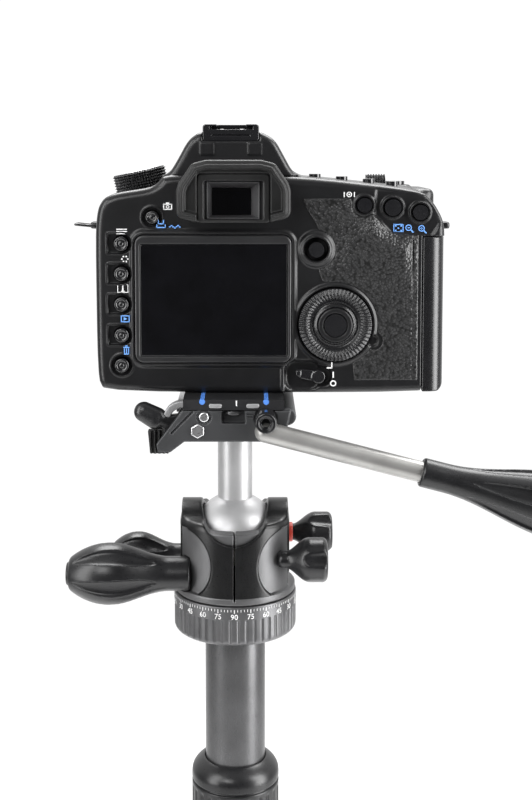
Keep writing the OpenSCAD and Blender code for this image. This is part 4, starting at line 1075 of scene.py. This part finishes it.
def smooth_range(tree, value, *limits):
    """Maps a value smoothly, from the first two limits to the last two."""
    node = tree.nodes.new("ShaderNodeMapRange")
    node.interpolation_type = "SMOOTHSTEP"
    for key, limit in zip(("From Min", "From Max", "To Min", "To Max"), limits):
        node.inputs[key].default_value = limit
    tree.links.new(value, node.inputs["Value"])
    return node.outputs["Result"]


def sky():
    """Studio surround: a bright sweep behind and beside the object, dark behind the photographer."""
    world = bpy.data.worlds.new("studio")
    scene.world = world
    world.use_nodes = True
    tree = world.node_tree
    tree.nodes.clear()
    where = tree.nodes.new("ShaderNodeTexCoord")
    split = tree.nodes.new("ShaderNodeVectorMath")
    split.operation = "DOT_PRODUCT"
    split.inputs[1].default_value = (0, 0.8, 0.65)
    tree.links.new(where.outputs["Generated"], split.inputs[0])
    lit = tree.nodes.new("ShaderNodeBackground")
    tree.links.new(smooth_range(tree, split.outputs["Value"], -0.2, 0.75, 0.035, 1.0), lit.inputs["Color"])
    lit.inputs["Strength"].default_value = 1.0
    plain = tree.nodes.new("ShaderNodeBackground")
    plain.inputs["Color"].default_value = (1, 1, 1, 1)
    plain.inputs["Strength"].default_value = 1.05
    path = tree.nodes.new("ShaderNodeLightPath")
    mix = tree.nodes.new("ShaderNodeMixShader")
    tree.links.new(path.outputs["Is Camera Ray"], mix.inputs["Fac"])
    tree.links.new(lit.outputs["Background"], mix.inputs[1])
    tree.links.new(plain.outputs["Background"], mix.inputs[2])
    out = tree.nodes.new("ShaderNodeOutputWorld")
    tree.links.new(mix.outputs["Shader"], out.inputs["Surface"])


def floor():
    bm = bmesh.new()
    bmesh.ops.create_circle(bm, cap_ends=True, segments=96, radius=2.2)
    obj = solid("floor", bm)
    mat, tree, shader, where = material("floor")
    shader.inputs["Roughness"].default_value = 0.6
    tree.links.new(ramp(tree, noise(tree, where, 3), 0.3, 0.7, 0.86, 0.9), shader.inputs["Base Color"])
    length = tree.nodes.new("ShaderNodeVectorMath")
    length.operation = "LENGTH"
    tree.links.new(where, length.inputs[0])
    tree.links.new(smooth_range(tree, length.outputs["Value"], 0.35, 1.5, 1.0, 0.0), shader.inputs["Alpha"])
    obj.data.materials.append(mat)


def soft_light(name, at, aim, size, power):
    data = bpy.data.lights.new(name, "AREA")
    data.shape = "RECTANGLE"
    data.size, data.size_y = size
    data.energy = power
    obj = linked(name, data)
    obj.location = at
    obj.rotation_euler = (Vector(aim) - Vector(at)).to_track_quat("-Z", "Y").to_euler()


def view():
    """Camera behind and a little above the object, looking slightly down."""
    data = bpy.data.cameras.new("view")
    cam = linked("view", data)
    data.sensor_width = 36
    data.lens = 59.3
    data.shift_x = 0.015
    data.shift_y = -0.186
    data.clip_start = 0.01
    cam.location = (0.0088, -0.602, BASE + 0.112)
    cam.rotation_euler = (math.radians(85), 0, 0)
    scene.camera = cam


# ---------- making ----------

rear_cover()
thumb_rest()
screen_parts()
finder_sleeve()
top_cover()
front_body()
grip_cover()
card_door()
eye_cup()
control_dial()
accessory_shoe()
switch_lever()
axis = joint_axis["mode_dial_turn"]
tip = Vector((0, 0, 1)).rotation_difference(axis).to_matrix().to_4x4()
on_dial = Matrix.Translation(MODE - axis * 0.6 * MM) @ tip
knurled_dial("mode_wheel", on_dial, 12.1, 8.4, 60, "mode_dial", "button_plastic", ("mode_dial",), 9.6)
mode_cap(on_dial)
dial_at = Matrix.Translation(CAMERA + Vector((62.4, *FINGER_DIAL)) * MM)
across = dial_at @ Matrix.Rotation(math.pi / 2, 4, "Y")
knurled_dial("finger_wheel", across, 6.3, 9.2, 40, "main_dial", "button_plastic", ("main_dial",), 6)
head_housing()
pan_scale()
degree_scale()
side_handle("main_handle", "tilt_handle", 52, 7.8, 14.4)
side_handle("second_handle", "rear_handle", 35, 6.6, 12.6)
lobed_knob("front_lobe_knob", "front_knob", 21, 10, 21.2, 0.3)
lobed_knob("rear_lobe_knob", "rear_knob", 21, 9.5, 25, 0.9)
pan_shaft()
pan_grip()
red_collar()
column_collar()
clamp_block()
clamp_fittings()
quick_lever()
strap_lug("left_ring", LEFT - 6, 0.1)
for k, z in enumerate(BUTTON_Z):
    button_cap(f"left_cap_{k + 1}", BUTTON_X, z, 3.1, f"left_button_{k + 1}", f"left_button_{k + 1}")
button_cap("live_cap", *LIVE, 2.8, "live_button", "live_button")
symbols()
dress_nodes()

sky()
floor()
soft_light("left_box", (-0.8, -0.5, BASE + 0.2), (0, 0, BASE - 0.05), (0.4, 1.2), 11)
soft_light("right_box", (0.8, -0.32, BASE + 0.1), (0, 0, BASE - 0.05), (0.45, 1.2), 20)
soft_light("top_box", (0.1, 0.45, BASE + 0.8), (0, 0, BASE), (1.1, 0.5), 18)
soft_light("front_box", (-0.5, -1.2, BASE + 0.65), (0, 0, BASE - 0.08), (0.5, 0.5), 7)
view()
scene.view_settings.view_transform = "Standard"
scene.view_settings.look = "None"
